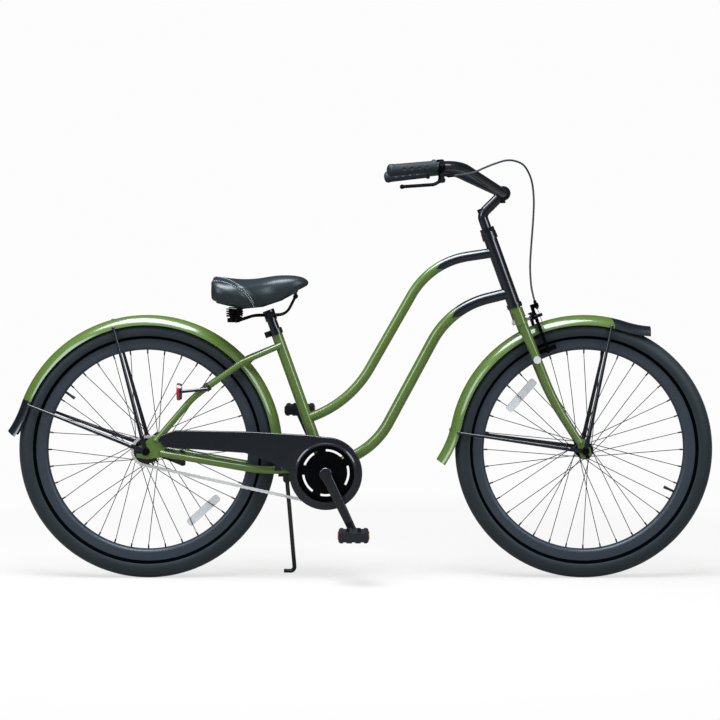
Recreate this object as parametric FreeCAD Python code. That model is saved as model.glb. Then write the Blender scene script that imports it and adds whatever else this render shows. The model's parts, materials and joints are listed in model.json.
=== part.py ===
"""Beach cruiser bicycle, in millimetres.

X points forward, Y to the rider's left and Z up. The origin is on the ground, under the middle of the
bicycle's length. The drive side is the rider's right, at negative Y.
"""
import FreeCAD
import Part
import math
import os

# Wheels and stance
WHEELBASE = 1120.0
BEAD_SEAT_R = 279.5
TYRE_HEIGHT = 50.5
TYRE_WIDTH = 55.0
TYRE_FLAT = 20.0
TYRE_WALL = 4.5
RIM_WIDTH = 32.0
RIM_DEPTH = 22.5
RIM_FLANGE = 6.0
RIM_WALL = 3.0
SPOKE_COUNT = 36
SPOKE_R = 1.0
SPOKE_CROSS_ANGLE = 60.0
NIPPLE_R = 2.0
FRONT_FLANGE_R = 23.0
REAR_FLANGE_R = 33.5
HUB_FLANGE_Y = 30.0
HUB_FLANGE_T = 3.0
AXLE_R = 4.76
AXLE_END_R = 4.5
AXLE_NUT_T = 9.0
FRONT_OPENING = 100.0
REAR_OPENING = 116.0
DROPOUT_T = 5.0
VALVE_R = 3.2
VALVE_BORE_R = 1.2
INNER_TUBE_WALL = 1.2
VALVE_REACH = 28.0

# Frame
BB_DROP = 56.0
BB_SHELL_R = 21.0
BB_SHELL_WIDTH = 68.0
SEAT_ANGLE = 70.3
SEAT_TUBE_LENGTH = 389.0
SEAT_TUBE_R = 14.3
SEAT_POST_R = 12.7
HEAD_ANGLE = 70.0
HEAD_TUBE_LENGTH = 175.0
HEAD_TUBE_R = 17.0
UPPER_TUBE_R = 12.7
LOWER_TUBE_R = 14.3
TUBE_WALL = 1.6
UPPER_JOINT_BELOW_TOP = 35.5
LOWER_JOINT_ABOVE_END = 29.0
UPPER_JOINT_ON_SEAT_TUBE = 144.0
UPPER_FRONT_BEND = (-166.0, -25.0)
UPPER_FRONT_BEND_R = 200.0
UPPER_REAR_BEND = (111.0, 42.0)
UPPER_REAR_BEND_R = 280.0
LOWER_FRONT_BEND = (-152.0, -37.6)
LOWER_FRONT_BEND_R = 220.0
LOWER_REAR_BEND = (132.0, 72.0)
LOWER_REAR_BEND_R = 200.0
SEAT_STAY_R = 8.0
STAY_JOINT_ON_SEAT_TUBE = 345.0
CHAIN_STAY_R = 11.0
CHAIN_STAY_END_R = 8.5

# Fork, headset and handlebar
FORK_LENGTH = 402.0
FORK_RAKE = 41.4
BLADE_TOP_R = 13.0
BLADE_END_R = 9.0
BLADE_WALL = 2.0
BREATHER_R = 1.5
BLADE_SPREAD = 50.0
CROWN_DEPTH = 42.0
STEERER_R = 12.7
QUILL_R = 11.1
LOWER_STACK = 12.5
CUP_HEIGHT = 10.0
CUP_R = 20.0
LOCKNUT_HEIGHT = 20.0
STEM_REACH = 69.0
STEM_ARM_RISE = 32.0
STEM_R = 13.0
BAR_R = 11.1
BAR_CLAMP_R = 12.7
BAR_STRAIGHT = 38.0
BAR_BEND_BACK = 124.0
BAR_BEND_UP = 67.0
BAR_BEND_SIDE = 265.0
BAR_END_BACK = 293.0
BAR_END_UP = 50.0
BAR_END_SIDE = 326.0
GRIP_LENGTH = 118.0
GRIP_R = 14.6

# Drive
CHAIN_PITCH = 12.7
CHAIN_LINKS = 102
ROLLER_R = 3.88
CHAINRING_TEETH = 40
SPROCKET_TEETH = 18
TOOTH_WIDTH = 2.6
CHAIN_LINE = 44.0
CRANK_LENGTH = 165.0
CRANK_REST_ANGLE = -64.5
CRANK_INNER_Y = 73.0
CRANK_T = 13.0
CRANK_ROUND = 4.5
SPINDLE_R = 8.5
PEDAL_LENGTH = 76.0
PEDAL_WIDTH = 98.0
PEDAL_T = 27.0
PEDAL_AXLE_R = 5.0
GUARD_Y = 69.5
GUARD_SHEET = 1.2
GUARD_R = 93.0
GUARD_OPENING_R = 72.5
GUARD_FLANGE = 10.0
GUARD_ROUND = 2.2
GUARD_HEAD_T = 1.9

# Fenders
FENDER_CROWN_R = 346.0
FENDER_EDGE_R = 321.0
FENDER_WIDTH = 66.0
FENDER_SHEET = 1.2
FENDER_FLARE_R = 260.0
REAR_FENDER_START = 7.0
REAR_FENDER_END = 161.0
REAR_FLARE = 72.0
FRONT_FENDER_START = 72.0
FRONT_FENDER_END = 168.5
FRONT_NOSE_FLARE = 64.0
FRONT_TAIL_FLARE = 102.0
STAY_HUB_R = 5.5
STAY_ROD_R = 3.2

# Seat
SADDLE_LENGTH = 245.0
SADDLE_WIDTH = 212.0
SADDLE_HEIGHT = 692.0
SPRING_COIL_R = 16.0
SPRING_WIRE_R = 2.2
SPRING_TURNS = 3.5
SPRING_HEIGHT = 25.0
RAIL_R = 3.5
RAIL_SPREAD = 22.0

# Kickstand and small gaps
STAND_SPLAY = 9.5
STAND_R = 5.4
RUNNING_GAP = 0.05
SEAT_GAP = 0.3


def vec(x, y, z):
    """A point or direction."""
    return FreeCAD.Vector(x, y, z)


UP = vec(0, 0, 1)
LEFT = vec(0, 1, 0)


def unit(direction):
    """The direction at length one."""
    return direction * (1.0 / direction.Length)


def placed(shape, base, axis):
    """A copy of a shape made along Z, moved to a base point and turned to an axis."""
    moved = shape.copy()
    moved.Placement = FreeCAD.Placement(base, FreeCAD.Rotation(UP, axis))
    return moved


def rod(start, end, radius):
    """A round bar between two points."""
    return Part.makeCylinder(radius, (end - start).Length, start, end - start)


def pipe(start, end, radius, bore):
    """A round tube between two points."""
    return rod(start, end, radius).cut(rod(start, end, bore))


def fused(shapes):
    """One solid from shapes that meet."""
    return shapes[0].fuse(shapes[1:]).removeSplitter()


def largest(shape):
    """The biggest solid of a shape, without the slivers a cut leaves."""
    return max(shape.Solids, key=lambda solid: solid.Volume)


def mirrored(shape):
    """The same piece on the other side of the bicycle."""
    return shape.mirror(vec(0, 0, 0), LEFT)


def hexagon(base, axis, across_flats, height, bore=0.0):
    """A hexagon nut or bolt head standing on a base point."""
    corner = across_flats / math.sqrt(3.0)
    ring = []
    for side in range(7):
        turn = math.radians(60.0 * side)
        ring.append(vec(corner * math.cos(turn), corner * math.sin(turn), 0))
    nut = Part.Face(Part.makePolygon(ring)).extrude(UP * height)
    if bore:
        nut = nut.cut(Part.makeCylinder(bore, height))
    return placed(nut, base, axis)


def route(points, bends):
    """A wire of straight runs joined by tangent arcs, with one bend radius for each inner point."""
    edges = []
    here = points[0]
    for index, radius in enumerate(bends, start=1):
        corner = points[index]
        back = unit(points[index - 1] - corner)
        ahead = unit(points[index + 1] - corner)
        half = back.getAngle(ahead) / 2.0
        reach = radius / math.tan(half)
        middle = unit(back + ahead)
        crown = corner + middle * (radius / math.sin(half) - radius)
        edges.append(Part.LineSegment(here, corner + back * reach).toShape())
        edges.append(Part.Arc(corner + back * reach, crown, corner + ahead * reach).toShape())
        here = corner + ahead * reach
    edges.append(Part.LineSegment(here, points[-1]).toShape())
    return Part.Wire(edges)


def circle(centre, axis, radius):
    """A round section standing square to an axis."""
    return Part.Wire([Part.Edge(Part.Circle(centre, axis, radius))])


def bent_rod(points, bends, radius, end_radius=None):
    """A round bar along a route, tapering to the end radius where one is given."""
    sections = [circle(points[0], points[1] - points[0], radius)]
    if end_radius:
        sections.append(circle(points[-1], points[-1] - points[-2], end_radius))
    return route(points, bends).makePipeShell(sections, True, False)


def bent_tube(points, bends, radius, wall, end_radius=None):
    """A hollow bent bar."""
    outer = bent_rod(points, bends, radius, end_radius)
    inner_end = end_radius - wall if end_radius else None
    return outer.cut(bent_rod(points, bends, radius - wall, inner_end))


def sketch(steps, place):
    """A closed wire through points. A pair of points is an arc through the first to the second."""
    edges = []
    here = steps[0]
    for step in steps[1:] + [steps[0]]:
        if isinstance(step[0], tuple):
            middle, there = step
            edges.append(Part.Arc(place(*here), place(*middle), place(*there)).toShape())
        else:
            there = step
            if math.dist(here, there) > 1e-6:
                edges.append(Part.LineSegment(place(*here), place(*there)).toShape())
        here = there
    return Part.Wire(edges)


def spun(steps, axle, degrees=360.0):
    """A ring about a wheel axle from an outline of (radius, Y) points."""
    wire = sketch(steps, lambda radius, y: axle + vec(radius, y, 0))
    return Part.Face(wire).revolve(axle, LEFT, degrees)


def ring(axle, inner, outer, y_from, y_to):
    """A plain ring about a lateral axis between two Y values."""
    start = vec(axle.x, y_from, axle.z)
    end = vec(axle.x, y_to, axle.z)
    return pipe(start, end, outer, inner)


def plate(steps, y_from, y_to):
    """A flat plate from an outline of (X, Z) points between two Y values."""
    wire = sketch(steps, lambda x, z: vec(x, y_from, z))
    return Part.Face(wire).extrude(vec(0, y_to - y_from, 0))


def block(x, y, z):
    """A rectangular block from three (low, high) pairs."""
    return Part.makeBox(x[1] - x[0], y[1] - y[0], z[1] - z[0], vec(x[0], y[0], z[0]))


# Places that follow from the sizes
TYRE_R = BEAD_SEAT_R + TYRE_HEIGHT
RIM_INNER_R = BEAD_SEAT_R - RIM_DEPTH
RIM_OUTER_R = BEAD_SEAT_R + RIM_FLANGE


def flare_point(start_angle, length, sense, radius=FENDER_CROWN_R):
    """Where a flared fender end finishes, from its axle, in X and Z."""
    turn = length / FENDER_FLARE_R
    out = math.radians(start_angle)
    radial = radius + FENDER_FLARE_R * (1.0 - math.cos(turn))
    onward = sense * FENDER_FLARE_R * math.sin(turn)
    x = radial * math.cos(out) - onward * math.sin(out)
    z = radial * math.sin(out) + onward * math.cos(out)
    return x, z


TAIL_REACH = -flare_point(REAR_FENDER_END, REAR_FLARE, 1)[0]
BIKE_LENGTH = TAIL_REACH + WHEELBASE + TYRE_R
REAR_AXLE = vec(TAIL_REACH - BIKE_LENGTH / 2.0, 0, TYRE_R)
FRONT_AXLE = REAR_AXLE + vec(WHEELBASE, 0, 0)
CHAINRING_R = CHAIN_PITCH / (2.0 * math.sin(math.pi / CHAINRING_TEETH))
SPROCKET_R = CHAIN_PITCH / (2.0 * math.sin(math.pi / SPROCKET_TEETH))


def lay_chain(centres):
    """Roller places round both sprockets, as (X, Z) with the chainring at the origin and the sprocket
    behind it on the X axis, and by how much the chain fails to close."""
    lean = math.asin((CHAINRING_R - SPROCKET_R) / centres)
    sprocket = vec(-centres, 0, 0)
    top_tangent = math.pi / 2.0 + lean
    low_tangent = -math.pi / 2.0 - lean
    run_top = vec(-math.cos(lean), 0, -math.sin(lean))
    run_low = vec(math.cos(lean), 0, -math.sin(lean))
    span = math.sqrt(centres ** 2 - (CHAINRING_R - SPROCKET_R) ** 2)

    def on(centre, radius, angle):
        return centre + vec(radius * math.cos(angle), 0, radius * math.sin(angle))

    step_ring = 2.0 * math.pi / CHAINRING_TEETH
    step_sprocket = 2.0 * math.pi / SPROCKET_TEETH
    first = on(vec(0, 0, 0), CHAINRING_R, top_tangent)
    rollers = [first]
    count = int(span / CHAIN_PITCH)
    for link in range(1, count + 1):
        rollers.append(first + run_top * (CHAIN_PITCH * link))
    ahead = span - count * CHAIN_PITCH
    onto = (CHAIN_PITCH - ahead) / SPROCKET_R
    angle = top_tangent + onto
    sprocket_phase = angle
    wrap_end = 2.0 * math.pi + low_tangent
    while angle <= wrap_end:
        rollers.append(on(sprocket, SPROCKET_R, angle))
        angle += step_sprocket
    leave = angle - step_sprocket
    part_way = CHAIN_PITCH - (wrap_end - leave) * SPROCKET_R
    low_start = on(sprocket, SPROCKET_R, low_tangent)
    while part_way <= span:
        rollers.append(low_start + run_low * part_way)
        part_way += CHAIN_PITCH
    arrive = low_tangent + (part_way - span) / CHAINRING_R
    angle = arrive
    while angle < top_tangent - step_ring / 2.0:
        rollers.append(on(vec(0, 0, 0), CHAINRING_R, angle))
        angle += step_ring
    miss = (angle - top_tangent) * CHAINRING_R + (CHAIN_LINKS - len(rollers)) * CHAIN_PITCH
    return rollers, sprocket_phase, miss


def chain_centres():
    """The distance between the two sprockets at which the chain closes."""
    straight = (CHAIN_LINKS - (CHAINRING_TEETH + SPROCKET_TEETH) / 2.0) * CHAIN_PITCH / 2.0
    low = straight - 2.0 * CHAIN_PITCH
    high = straight + 2.0 * CHAIN_PITCH
    for _ in range(60):
        middle = (low + high) / 2.0
        if lay_chain(middle)[2] > 0:
            low = middle
        else:
            high = middle
    return (low + high) / 2.0


CENTRES = chain_centres()
BB = vec(REAR_AXLE.x + math.sqrt(CENTRES ** 2 - BB_DROP ** 2), 0, TYRE_R - BB_DROP)
SEAT_UP = vec(-math.cos(math.radians(SEAT_ANGLE)), 0, math.sin(math.radians(SEAT_ANGLE)))
STEER_UP = vec(-math.cos(math.radians(HEAD_ANGLE)), 0, math.sin(math.radians(HEAD_ANGLE)))
STEER_FRONT = vec(math.sin(math.radians(HEAD_ANGLE)), 0, math.cos(math.radians(HEAD_ANGLE)))
STEER_FOOT = FRONT_AXLE - STEER_FRONT * FORK_RAKE


def on_seat_tube(distance):
    """A point on the seat tube's axis, from the bottom bracket up."""
    return BB + SEAT_UP * distance


def steer(along, forward=0.0, side=0.0):
    """A point in the fork's own directions: up its axis, forward of it and to the left."""
    return STEER_FOOT + STEER_UP * along + STEER_FRONT * forward + LEFT * side


HEAD_BOTTOM = FORK_LENGTH + LOWER_STACK
HEAD_TOP = HEAD_BOTTOM + HEAD_TUBE_LENGTH
LOCKNUT_BASE = HEAD_TOP + CUP_HEIGHT + SEAT_GAP
STEERER_TOP = LOCKNUT_BASE + LOCKNUT_HEIGHT
ELBOW = STEERER_TOP + 37.0
BAR_CENTRE = steer(ELBOW + STEM_ARM_RISE, STEM_REACH)


# Frame tubes
def head_solid():
    """The head tube's outside as a full bar, which the other tubes are coped to."""
    return rod(steer(HEAD_BOTTOM), steer(HEAD_TOP), HEAD_TUBE_R)


def head_tube():
    """Tube that carries the headset."""
    bore = rod(steer(HEAD_BOTTOM), steer(HEAD_TOP), HEAD_TUBE_R - 2.0)
    return head_solid().cut(bore)


def seat_solid():
    """The seat tube and bottom bracket shell as full bars."""
    tube = rod(BB, on_seat_tube(SEAT_TUBE_LENGTH), SEAT_TUBE_R)
    half = LEFT * (BB_SHELL_WIDTH / 2.0)
    return fused([tube, rod(BB - half, BB + half, BB_SHELL_R)])


def seat_tube():
    """Seat tube brazed to the bottom bracket shell, bored for the seat post and the cups."""
    half = LEFT * (BB_SHELL_WIDTH / 2.0)
    post_bore = rod(BB, on_seat_tube(SEAT_TUBE_LENGTH), SEAT_POST_R + RUNNING_GAP)
    shell_bore = rod(BB - half, BB + half, BB_SHELL_R - 3.0)
    return seat_solid().cut([post_bore, shell_bore])


def upper_points():
    """Corners of the upper tube's axis, head tube first."""
    head = steer(HEAD_TOP - UPPER_JOINT_BELOW_TOP)
    seat = on_seat_tube(UPPER_JOINT_ON_SEAT_TUBE)
    front = head + vec(UPPER_FRONT_BEND[0], 0, UPPER_FRONT_BEND[1])
    rear = seat + vec(UPPER_REAR_BEND[0], 0, UPPER_REAR_BEND[1])
    return [head, front, rear, seat]


def upper_tube():
    """Upper tube that sweeps down from the head tube to low on the seat tube."""
    bends = [UPPER_FRONT_BEND_R, UPPER_REAR_BEND_R]
    tube = bent_tube(upper_points(), bends, UPPER_TUBE_R, TUBE_WALL)
    return tube.cut([head_solid(), seat_solid()])


def lower_tube():
    """Lower tube from the head tube to the bottom bracket."""
    head = steer(HEAD_BOTTOM + LOWER_JOINT_ABOVE_END)
    front = head + vec(LOWER_FRONT_BEND[0], 0, LOWER_FRONT_BEND[1])
    rear = BB + vec(LOWER_REAR_BEND[0], 0, LOWER_REAR_BEND[1])
    bends = [LOWER_FRONT_BEND_R, LOWER_REAR_BEND_R]
    tube = bent_tube([head, front, rear, BB], bends, LOWER_TUBE_R, TUBE_WALL)
    return tube.cut([head_solid(), seat_solid()])


DROPOUT_Y = (REAR_OPENING + DROPOUT_T) / 2.0
STAY_END = REAR_AXLE + vec(25, 0, 27)
CHAIN_STAY_END = REAR_AXLE + vec(36, 0, -4)


def stay_points():
    """Corners of the right seat stay's axis, seat tube first."""
    top = on_seat_tube(STAY_JOINT_ON_SEAT_TUBE)
    shoulder = vec(REAR_AXLE.x + 250, -45, REAR_AXLE.z + 230)
    knee = vec(REAR_AXLE.x + 120, -54, REAR_AXLE.z + 138)
    return [top + vec(0, -8, 0), shoulder, knee, STAY_END - LEFT * DROPOUT_Y]


def chain_stay_points():
    """Corners of the right chain stay's axis, bottom bracket first."""
    start = BB + vec(0, -20, 0)
    throat = vec(BB.x - 92, -28, BB.z + 5)
    beside_tyre = vec(BB.x - 175, -45, BB.z + 8)
    return [start, throat, beside_tyre, CHAIN_STAY_END - LEFT * DROPOUT_Y]


CHAIN_STAY_BENDS = [150.0, 200.0]


def chain_stay_room(gap):
    """The right chain stay's whole bar, grown by a gap, to cut from what lies against it."""
    return bent_rod(chain_stay_points(), CHAIN_STAY_BENDS, CHAIN_STAY_R + gap, CHAIN_STAY_END_R + gap)


def dropout():
    """Right rear dropout: a plate round the axle with a slot open to the rear."""
    x = REAR_AXLE.x
    z = REAR_AXLE.z
    outline = [(x + 46, z - 14), (x + 46, z + 6), (x + 68, z + 18), (x + 68, z + 34), (x + 36, z + 36),
               (x + 16, z + 40), (x - 12, z + 16), (x - 24, z + 12), (x - 24, z - 14), (x, z - 20)]
    body = plate(outline, -DROPOUT_Y - DROPOUT_T / 2.0, -DROPOUT_Y + DROPOUT_T / 2.0)
    gap = AXLE_R + RUNNING_GAP
    slot = block((x - 40, x), (-DROPOUT_Y - DROPOUT_T, 0), (z - gap, z + gap))
    eye = rod(REAR_AXLE - LEFT * (DROPOUT_Y + DROPOUT_T), REAR_AXLE, gap)
    return body.cut([slot, eye])


def stay_bridge_centre():
    """Middle of the bridge that carries the rear fender, on the seat stays' axis."""
    start, shoulder = stay_points()[:2]
    return start + (shoulder - start) * 0.66


def seat_stays():
    """Pair of curved seat stays with their fender bridge."""
    stay = bent_tube(stay_points(), [90.0, 240.0], SEAT_STAY_R, TUBE_WALL)
    full = bent_rod(stay_points(), [90.0, 240.0], SEAT_STAY_R)
    slotted = stay.cut([seat_solid(), dropout()])
    centre = stay_bridge_centre()
    half = vec(0, -centre.y, 0)
    middle = vec(centre.x, 0, centre.z)
    bridge = rod(middle - half, middle + half, 4.5).cut([full, mirrored(full)])
    return Part.makeCompound([slotted, mirrored(slotted), bridge])


def chain_stays():
    """Pair of tapered chain stays with their dropouts and a bridge behind the bottom bracket."""
    full = chain_stay_room(0.0)
    inner = chain_stay_room(-TUBE_WALL)
    stay = largest(fused([full.cut([inner, dropout()]), dropout()]).cut(seat_solid()))
    bridge_x = BB.x - 112
    bridge = rod(vec(bridge_x, -32, BB.z + 6), vec(bridge_x, 32, BB.z + 6), 6.0)
    bridge = bridge.cut([full, mirrored(full)])
    return Part.makeCompound([stay, mirrored(stay), bridge])


def headset_cups():
    """Upper and lower bearing cups pressed in the head tube."""
    bore = STEERER_R + RUNNING_GAP
    lower = pipe(steer(HEAD_BOTTOM - CUP_HEIGHT), steer(HEAD_BOTTOM), CUP_R, bore)
    upper = pipe(steer(HEAD_TOP), steer(HEAD_TOP + CUP_HEIGHT), CUP_R, bore)
    skirt = HEAD_TUBE_R - 2.0 - RUNNING_GAP
    low_skirt = pipe(steer(HEAD_BOTTOM), steer(HEAD_BOTTOM + 8), skirt, bore)
    top_skirt = pipe(steer(HEAD_TOP - 8), steer(HEAD_TOP), skirt, bore)
    return Part.makeCompound([fused([lower, low_skirt]), fused([upper, top_skirt])])


def bottom_bracket_cups():
    """Bearing cups screwed in the bottom bracket shell."""
    edge = BB_SHELL_WIDTH / 2.0
    bore = SPINDLE_R + RUNNING_GAP
    inside = ring(BB, bore, BB_SHELL_R - 3.0 - RUNNING_GAP, -edge, -edge + 14)
    rim = ring(BB, bore, BB_SHELL_R - 1.0, -edge - 2.5, -edge)
    cup = fused([inside, rim])
    return Part.makeCompound([cup, mirrored(cup)])


CLAMP_HEIGHT = 15.0


def seat_clamp():
    """Split collar at the top of the seat tube, with ears and a bolt behind."""
    top = on_seat_tube(SEAT_TUBE_LENGTH)
    base = on_seat_tube(SEAT_TUBE_LENGTH - CLAMP_HEIGHT)
    collar = pipe(base, top, SEAT_TUBE_R + 3.2, SEAT_TUBE_R + RUNNING_GAP)
    ears = Part.makeBox(14, 16, CLAMP_HEIGHT, vec(-SEAT_TUBE_R - 15, -8, 0))
    slit = Part.makeBox(20, 3, CLAMP_HEIGHT, vec(-SEAT_TUBE_R - 18, -1.5, 0))
    bolt_hole = Part.makeCylinder(3.0 + RUNNING_GAP, 40, vec(-SEAT_TUBE_R - 9, -20, CLAMP_HEIGHT / 2), LEFT)
    clear = Part.makeCylinder(SEAT_TUBE_R + 1.0, CLAMP_HEIGHT)
    tilt = FreeCAD.Placement(base, FreeCAD.Rotation(UP, SEAT_UP))
    for piece in (ears, slit, bolt_hole, clear):
        piece.Placement = tilt.multiply(piece.Placement)
    body = fused([collar, ears.cut(clear)]).cut([slit, bolt_hole])
    side = base + SEAT_UP * (CLAMP_HEIGHT / 2) + tilt.Rotation.multVec(vec(-SEAT_TUBE_R - 9, 0, 0))
    shank = rod(side - LEFT * 9, side + LEFT * 9, 3.0)
    head = hexagon(side - LEFT * 8, -LEFT, 10.0, 5.0)
    nut = hexagon(side + LEFT * 8, LEFT, 10.0, 5.0)
    return Part.makeCompound([body, fused([shank, head, nut])])


# Wheels
def tyre(axle):
    """Hollow balloon tyre with a flat running band and beads in the rim."""
    half = TYRE_WIDTH / 2.0
    flat = TYRE_FLAT / 2.0
    middle = TYRE_R - math.sqrt(half ** 2 - flat ** 2)
    low = middle - half * 0.45
    low_y = math.sqrt(half ** 2 - (middle - low) ** 2)
    core = half - TYRE_WALL
    core_y = math.sqrt(core ** 2 - (middle - low) ** 2)
    lean = core * math.sqrt(0.5)
    bead = RIM_WIDTH / 2.0 - 2.5 - SEAT_GAP
    toe = BEAD_SEAT_R + SEAT_GAP
    lip = RIM_OUTER_R + SEAT_GAP
    steps = [(TYRE_R, -flat), (TYRE_R, flat), ((middle, half), (low, low_y)), (lip, bead + 3),
             (lip, bead), (toe, bead), (toe, bead - 3), (lip, bead - 3.4), (low, core_y),
             ((middle + lean, lean), (middle + core, 0.0)), ((middle + lean, -lean), (low, -core_y)),
             (lip, -bead + 3.4), (toe, -bead + 3), (toe, -bead), (lip, -bead), (lip, -bead - 3),
             (low, -low_y), ((middle, -half), (TYRE_R, -flat))]
    return spun(steps, axle)


def radial(axle, radius, degrees, y=0.0):
    """A point in a wheel from its radius and angle."""
    turn = math.radians(degrees)
    return axle + vec(radius * math.cos(turn), y, radius * math.sin(turn))


def inner_tube(axle, valve_angle):
    """Hollow inner tube with its valve, which stands through the rim."""
    section = TYRE_WIDTH / 2.0 - TYRE_WALL - 3.0
    middle = TYRE_R - TYRE_WALL - section - SEAT_GAP
    body = Part.makeTorus(middle, section, axle, LEFT)
    air = Part.makeTorus(middle, section - INNER_TUBE_WALL, axle, LEFT)
    low = radial(axle, RIM_INNER_R - VALVE_REACH, valve_angle)
    high = radial(axle, middle - section + 2.0, valve_angle)
    tip = radial(axle, RIM_INNER_R - VALVE_REACH + 9.0, valve_angle)
    cap = rod(low, tip, VALVE_R + 0.7)
    bore = rod(low, radial(axle, middle, valve_angle), VALVE_BORE_R)
    return fused([body, rod(tip, high, VALVE_R), cap]).cut([air, bore])


def rim_angles():
    """The angle of each spoke's hole in the rim."""
    return [360.0 / SPOKE_COUNT * index for index in range(SPOKE_COUNT)]


NIPPLE_Y = 2.0


def rim(axle, valve_angle):
    """Channel rim with its spoke holes and valve hole."""
    half = RIM_WIDTH / 2.0
    lip = half - 2.5
    shelf = half - 6.0
    floor = RIM_INNER_R + RIM_WALL
    side = RIM_INNER_R + 10.0
    inner = 9.0
    steps = [(RIM_OUTER_R, half), (side, half), ((RIM_INNER_R + 3.0, half - 2.6), (RIM_INNER_R, inner)),
             (RIM_INNER_R, -inner), ((RIM_INNER_R + 3.0, 2.6 - half), (side, -half)), (RIM_OUTER_R, -half),
             (RIM_OUTER_R, -lip), (BEAD_SEAT_R, -lip), (BEAD_SEAT_R, -shelf), (floor + 6, -shelf),
             (floor, -5.5), (floor, 5.5), (floor + 6, shelf), (BEAD_SEAT_R, shelf), (BEAD_SEAT_R, lip),
             (RIM_OUTER_R, lip)]
    body = spun(steps, axle)
    low = radial(axle, RIM_INNER_R - 2, valve_angle)
    high = radial(axle, floor + 2, valve_angle)
    holes = [rod(low, high, VALVE_R + 0.5)]
    for index, angle in enumerate(rim_angles()):
        y = NIPPLE_Y if index % 2 else -NIPPLE_Y
        holes.append(rod(radial(axle, RIM_INNER_R - 2, angle, y), radial(axle, floor + 2, angle, y),
                         NIPPLE_R + 0.15))
    return body.cut(holes)


def spoke_holes(flange_r):
    """Radius of the spoke holes in a hub flange."""
    return flange_r - 4.5


def spokes(axle, flange_r):
    """Crossed spokes with their nipples, heads in the hub flanges."""
    group = []
    floor = RIM_INNER_R + RIM_WALL
    offset = HUB_FLANGE_T / 2.0 + SPOKE_R + 0.2
    for index, angle in enumerate(rim_angles()):
        side = 1 if index % 2 else -1
        lead = 1 if (index // 2) % 2 else -1
        flange = side * HUB_FLANGE_Y
        start_y = flange + side * lead * offset
        far_y = flange - side * lead * (HUB_FLANGE_T / 2.0 + 1.0)
        hub_angle = angle + lead * SPOKE_CROSS_ANGLE
        start = radial(axle, spoke_holes(flange_r), hub_angle, start_y)
        head = radial(axle, spoke_holes(flange_r), hub_angle, far_y)
        foot = radial(axle, RIM_INNER_R - 10.0, angle, side * NIPPLE_Y)
        seat = radial(axle, floor + 0.1, angle, side * NIPPLE_Y)
        end = radial(axle, floor + 2.2, angle, side * NIPPLE_Y)
        inward = unit(foot - start)
        wire = rod(start, foot + inward * 4.0, SPOKE_R)
        elbow = Part.makeSphere(SPOKE_R, start)
        pin = rod(start, head, SPOKE_R)
        cap = rod(head, head + unit(head - start) * 0.8, 2.0)
        nipple = rod(foot, seat, NIPPLE_R)
        crown = rod(seat, end, NIPPLE_R + 1.0)
        group.append(wire.fuse([elbow, pin, cap, nipple, crown]))
    return Part.makeCompound(group)


def hub(axle, flange_r, body_r, left_end, right_end):
    """Hub shell with drilled flanges, and the two bearings that run on the axle."""
    bore = AXLE_R + 5.0
    t = HUB_FLANGE_T / 2.0
    shell = [ring(axle, bore, body_r, right_end, left_end)]
    for side in (-1, 1):
        shell.append(ring(axle, bore, flange_r, side * HUB_FLANGE_Y - t, side * HUB_FLANGE_Y + t))
    holes = []
    for index, angle in enumerate(rim_angles()):
        side = 1 if index % 2 else -1
        lead = 1 if (index // 2) % 2 else -1
        y = side * HUB_FLANGE_Y
        at = angle + lead * SPOKE_CROSS_ANGLE
        holes.append(rod(radial(axle, spoke_holes(flange_r), at, y - 4),
                         radial(axle, spoke_holes(flange_r), at, y + 4), SPOKE_R + 0.3))
    body = fused(shell).cut(holes)
    inner = AXLE_R + RUNNING_GAP
    bearings = [ring(axle, inner, bore - RUNNING_GAP, left_end - 9, left_end),
                ring(axle, inner, bore - RUNNING_GAP, right_end, right_end + 9)]
    return Part.makeCompound([body] + bearings)


REFLECTOR_LENGTH = 104.0
REFLECTOR_HEIGHT = 20.0
REFLECTOR_T = 7.0


def wheel_reflector(axle, angle, radius):
    """Clear reflector held between the two rows of spokes."""
    body = Part.makeBox(REFLECTOR_LENGTH, REFLECTOR_T, REFLECTOR_HEIGHT,
                        vec(-REFLECTOR_LENGTH / 2.0, -REFLECTOR_T / 2.0, radius - REFLECTOR_HEIGHT / 2.0))
    corners = [edge for edge in body.Edges if abs(edge.tangentAt(edge.FirstParameter).y) > 0.9]
    body = body.makeFillet(6.0, corners)
    body.Placement = FreeCAD.Placement(axle, FreeCAD.Rotation(-LEFT, angle - 90.0))
    return body


def axle_set(axle, half_opening, plate_t, stay_t, spacer_from, length):
    """Axle with turned-down ends, its inner spacers and outer nuts."""
    outer = half_opening + plate_t + stay_t + 2 * SEAT_GAP
    step = LEFT * (outer + AXLE_NUT_T)
    end = LEFT * (length / 2.0)
    group = [fused([rod(axle - step, axle + step, AXLE_R), rod(axle - end, axle + end, AXLE_END_R)])]
    for side, start in ((-1, spacer_from[0]), (1, spacer_from[1])):
        lo, hi = sorted((side * start, side * half_opening))
        group.append(ring(axle, AXLE_R + 0.02, AXLE_R + 4.5, lo, hi))
        nut = hexagon(axle + LEFT * (side * outer), LEFT * side, 15.0, AXLE_NUT_T, AXLE_R + 0.02)
        group.append(nut)
    return Part.makeCompound(group)


# Fork, headset and handlebar
FORK_TIP_Y = (FRONT_OPENING + DROPOUT_T) / 2.0
CALIPER_S = FORK_LENGTH - 34.0
BRAKE_BOLT_R = 3.0


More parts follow.
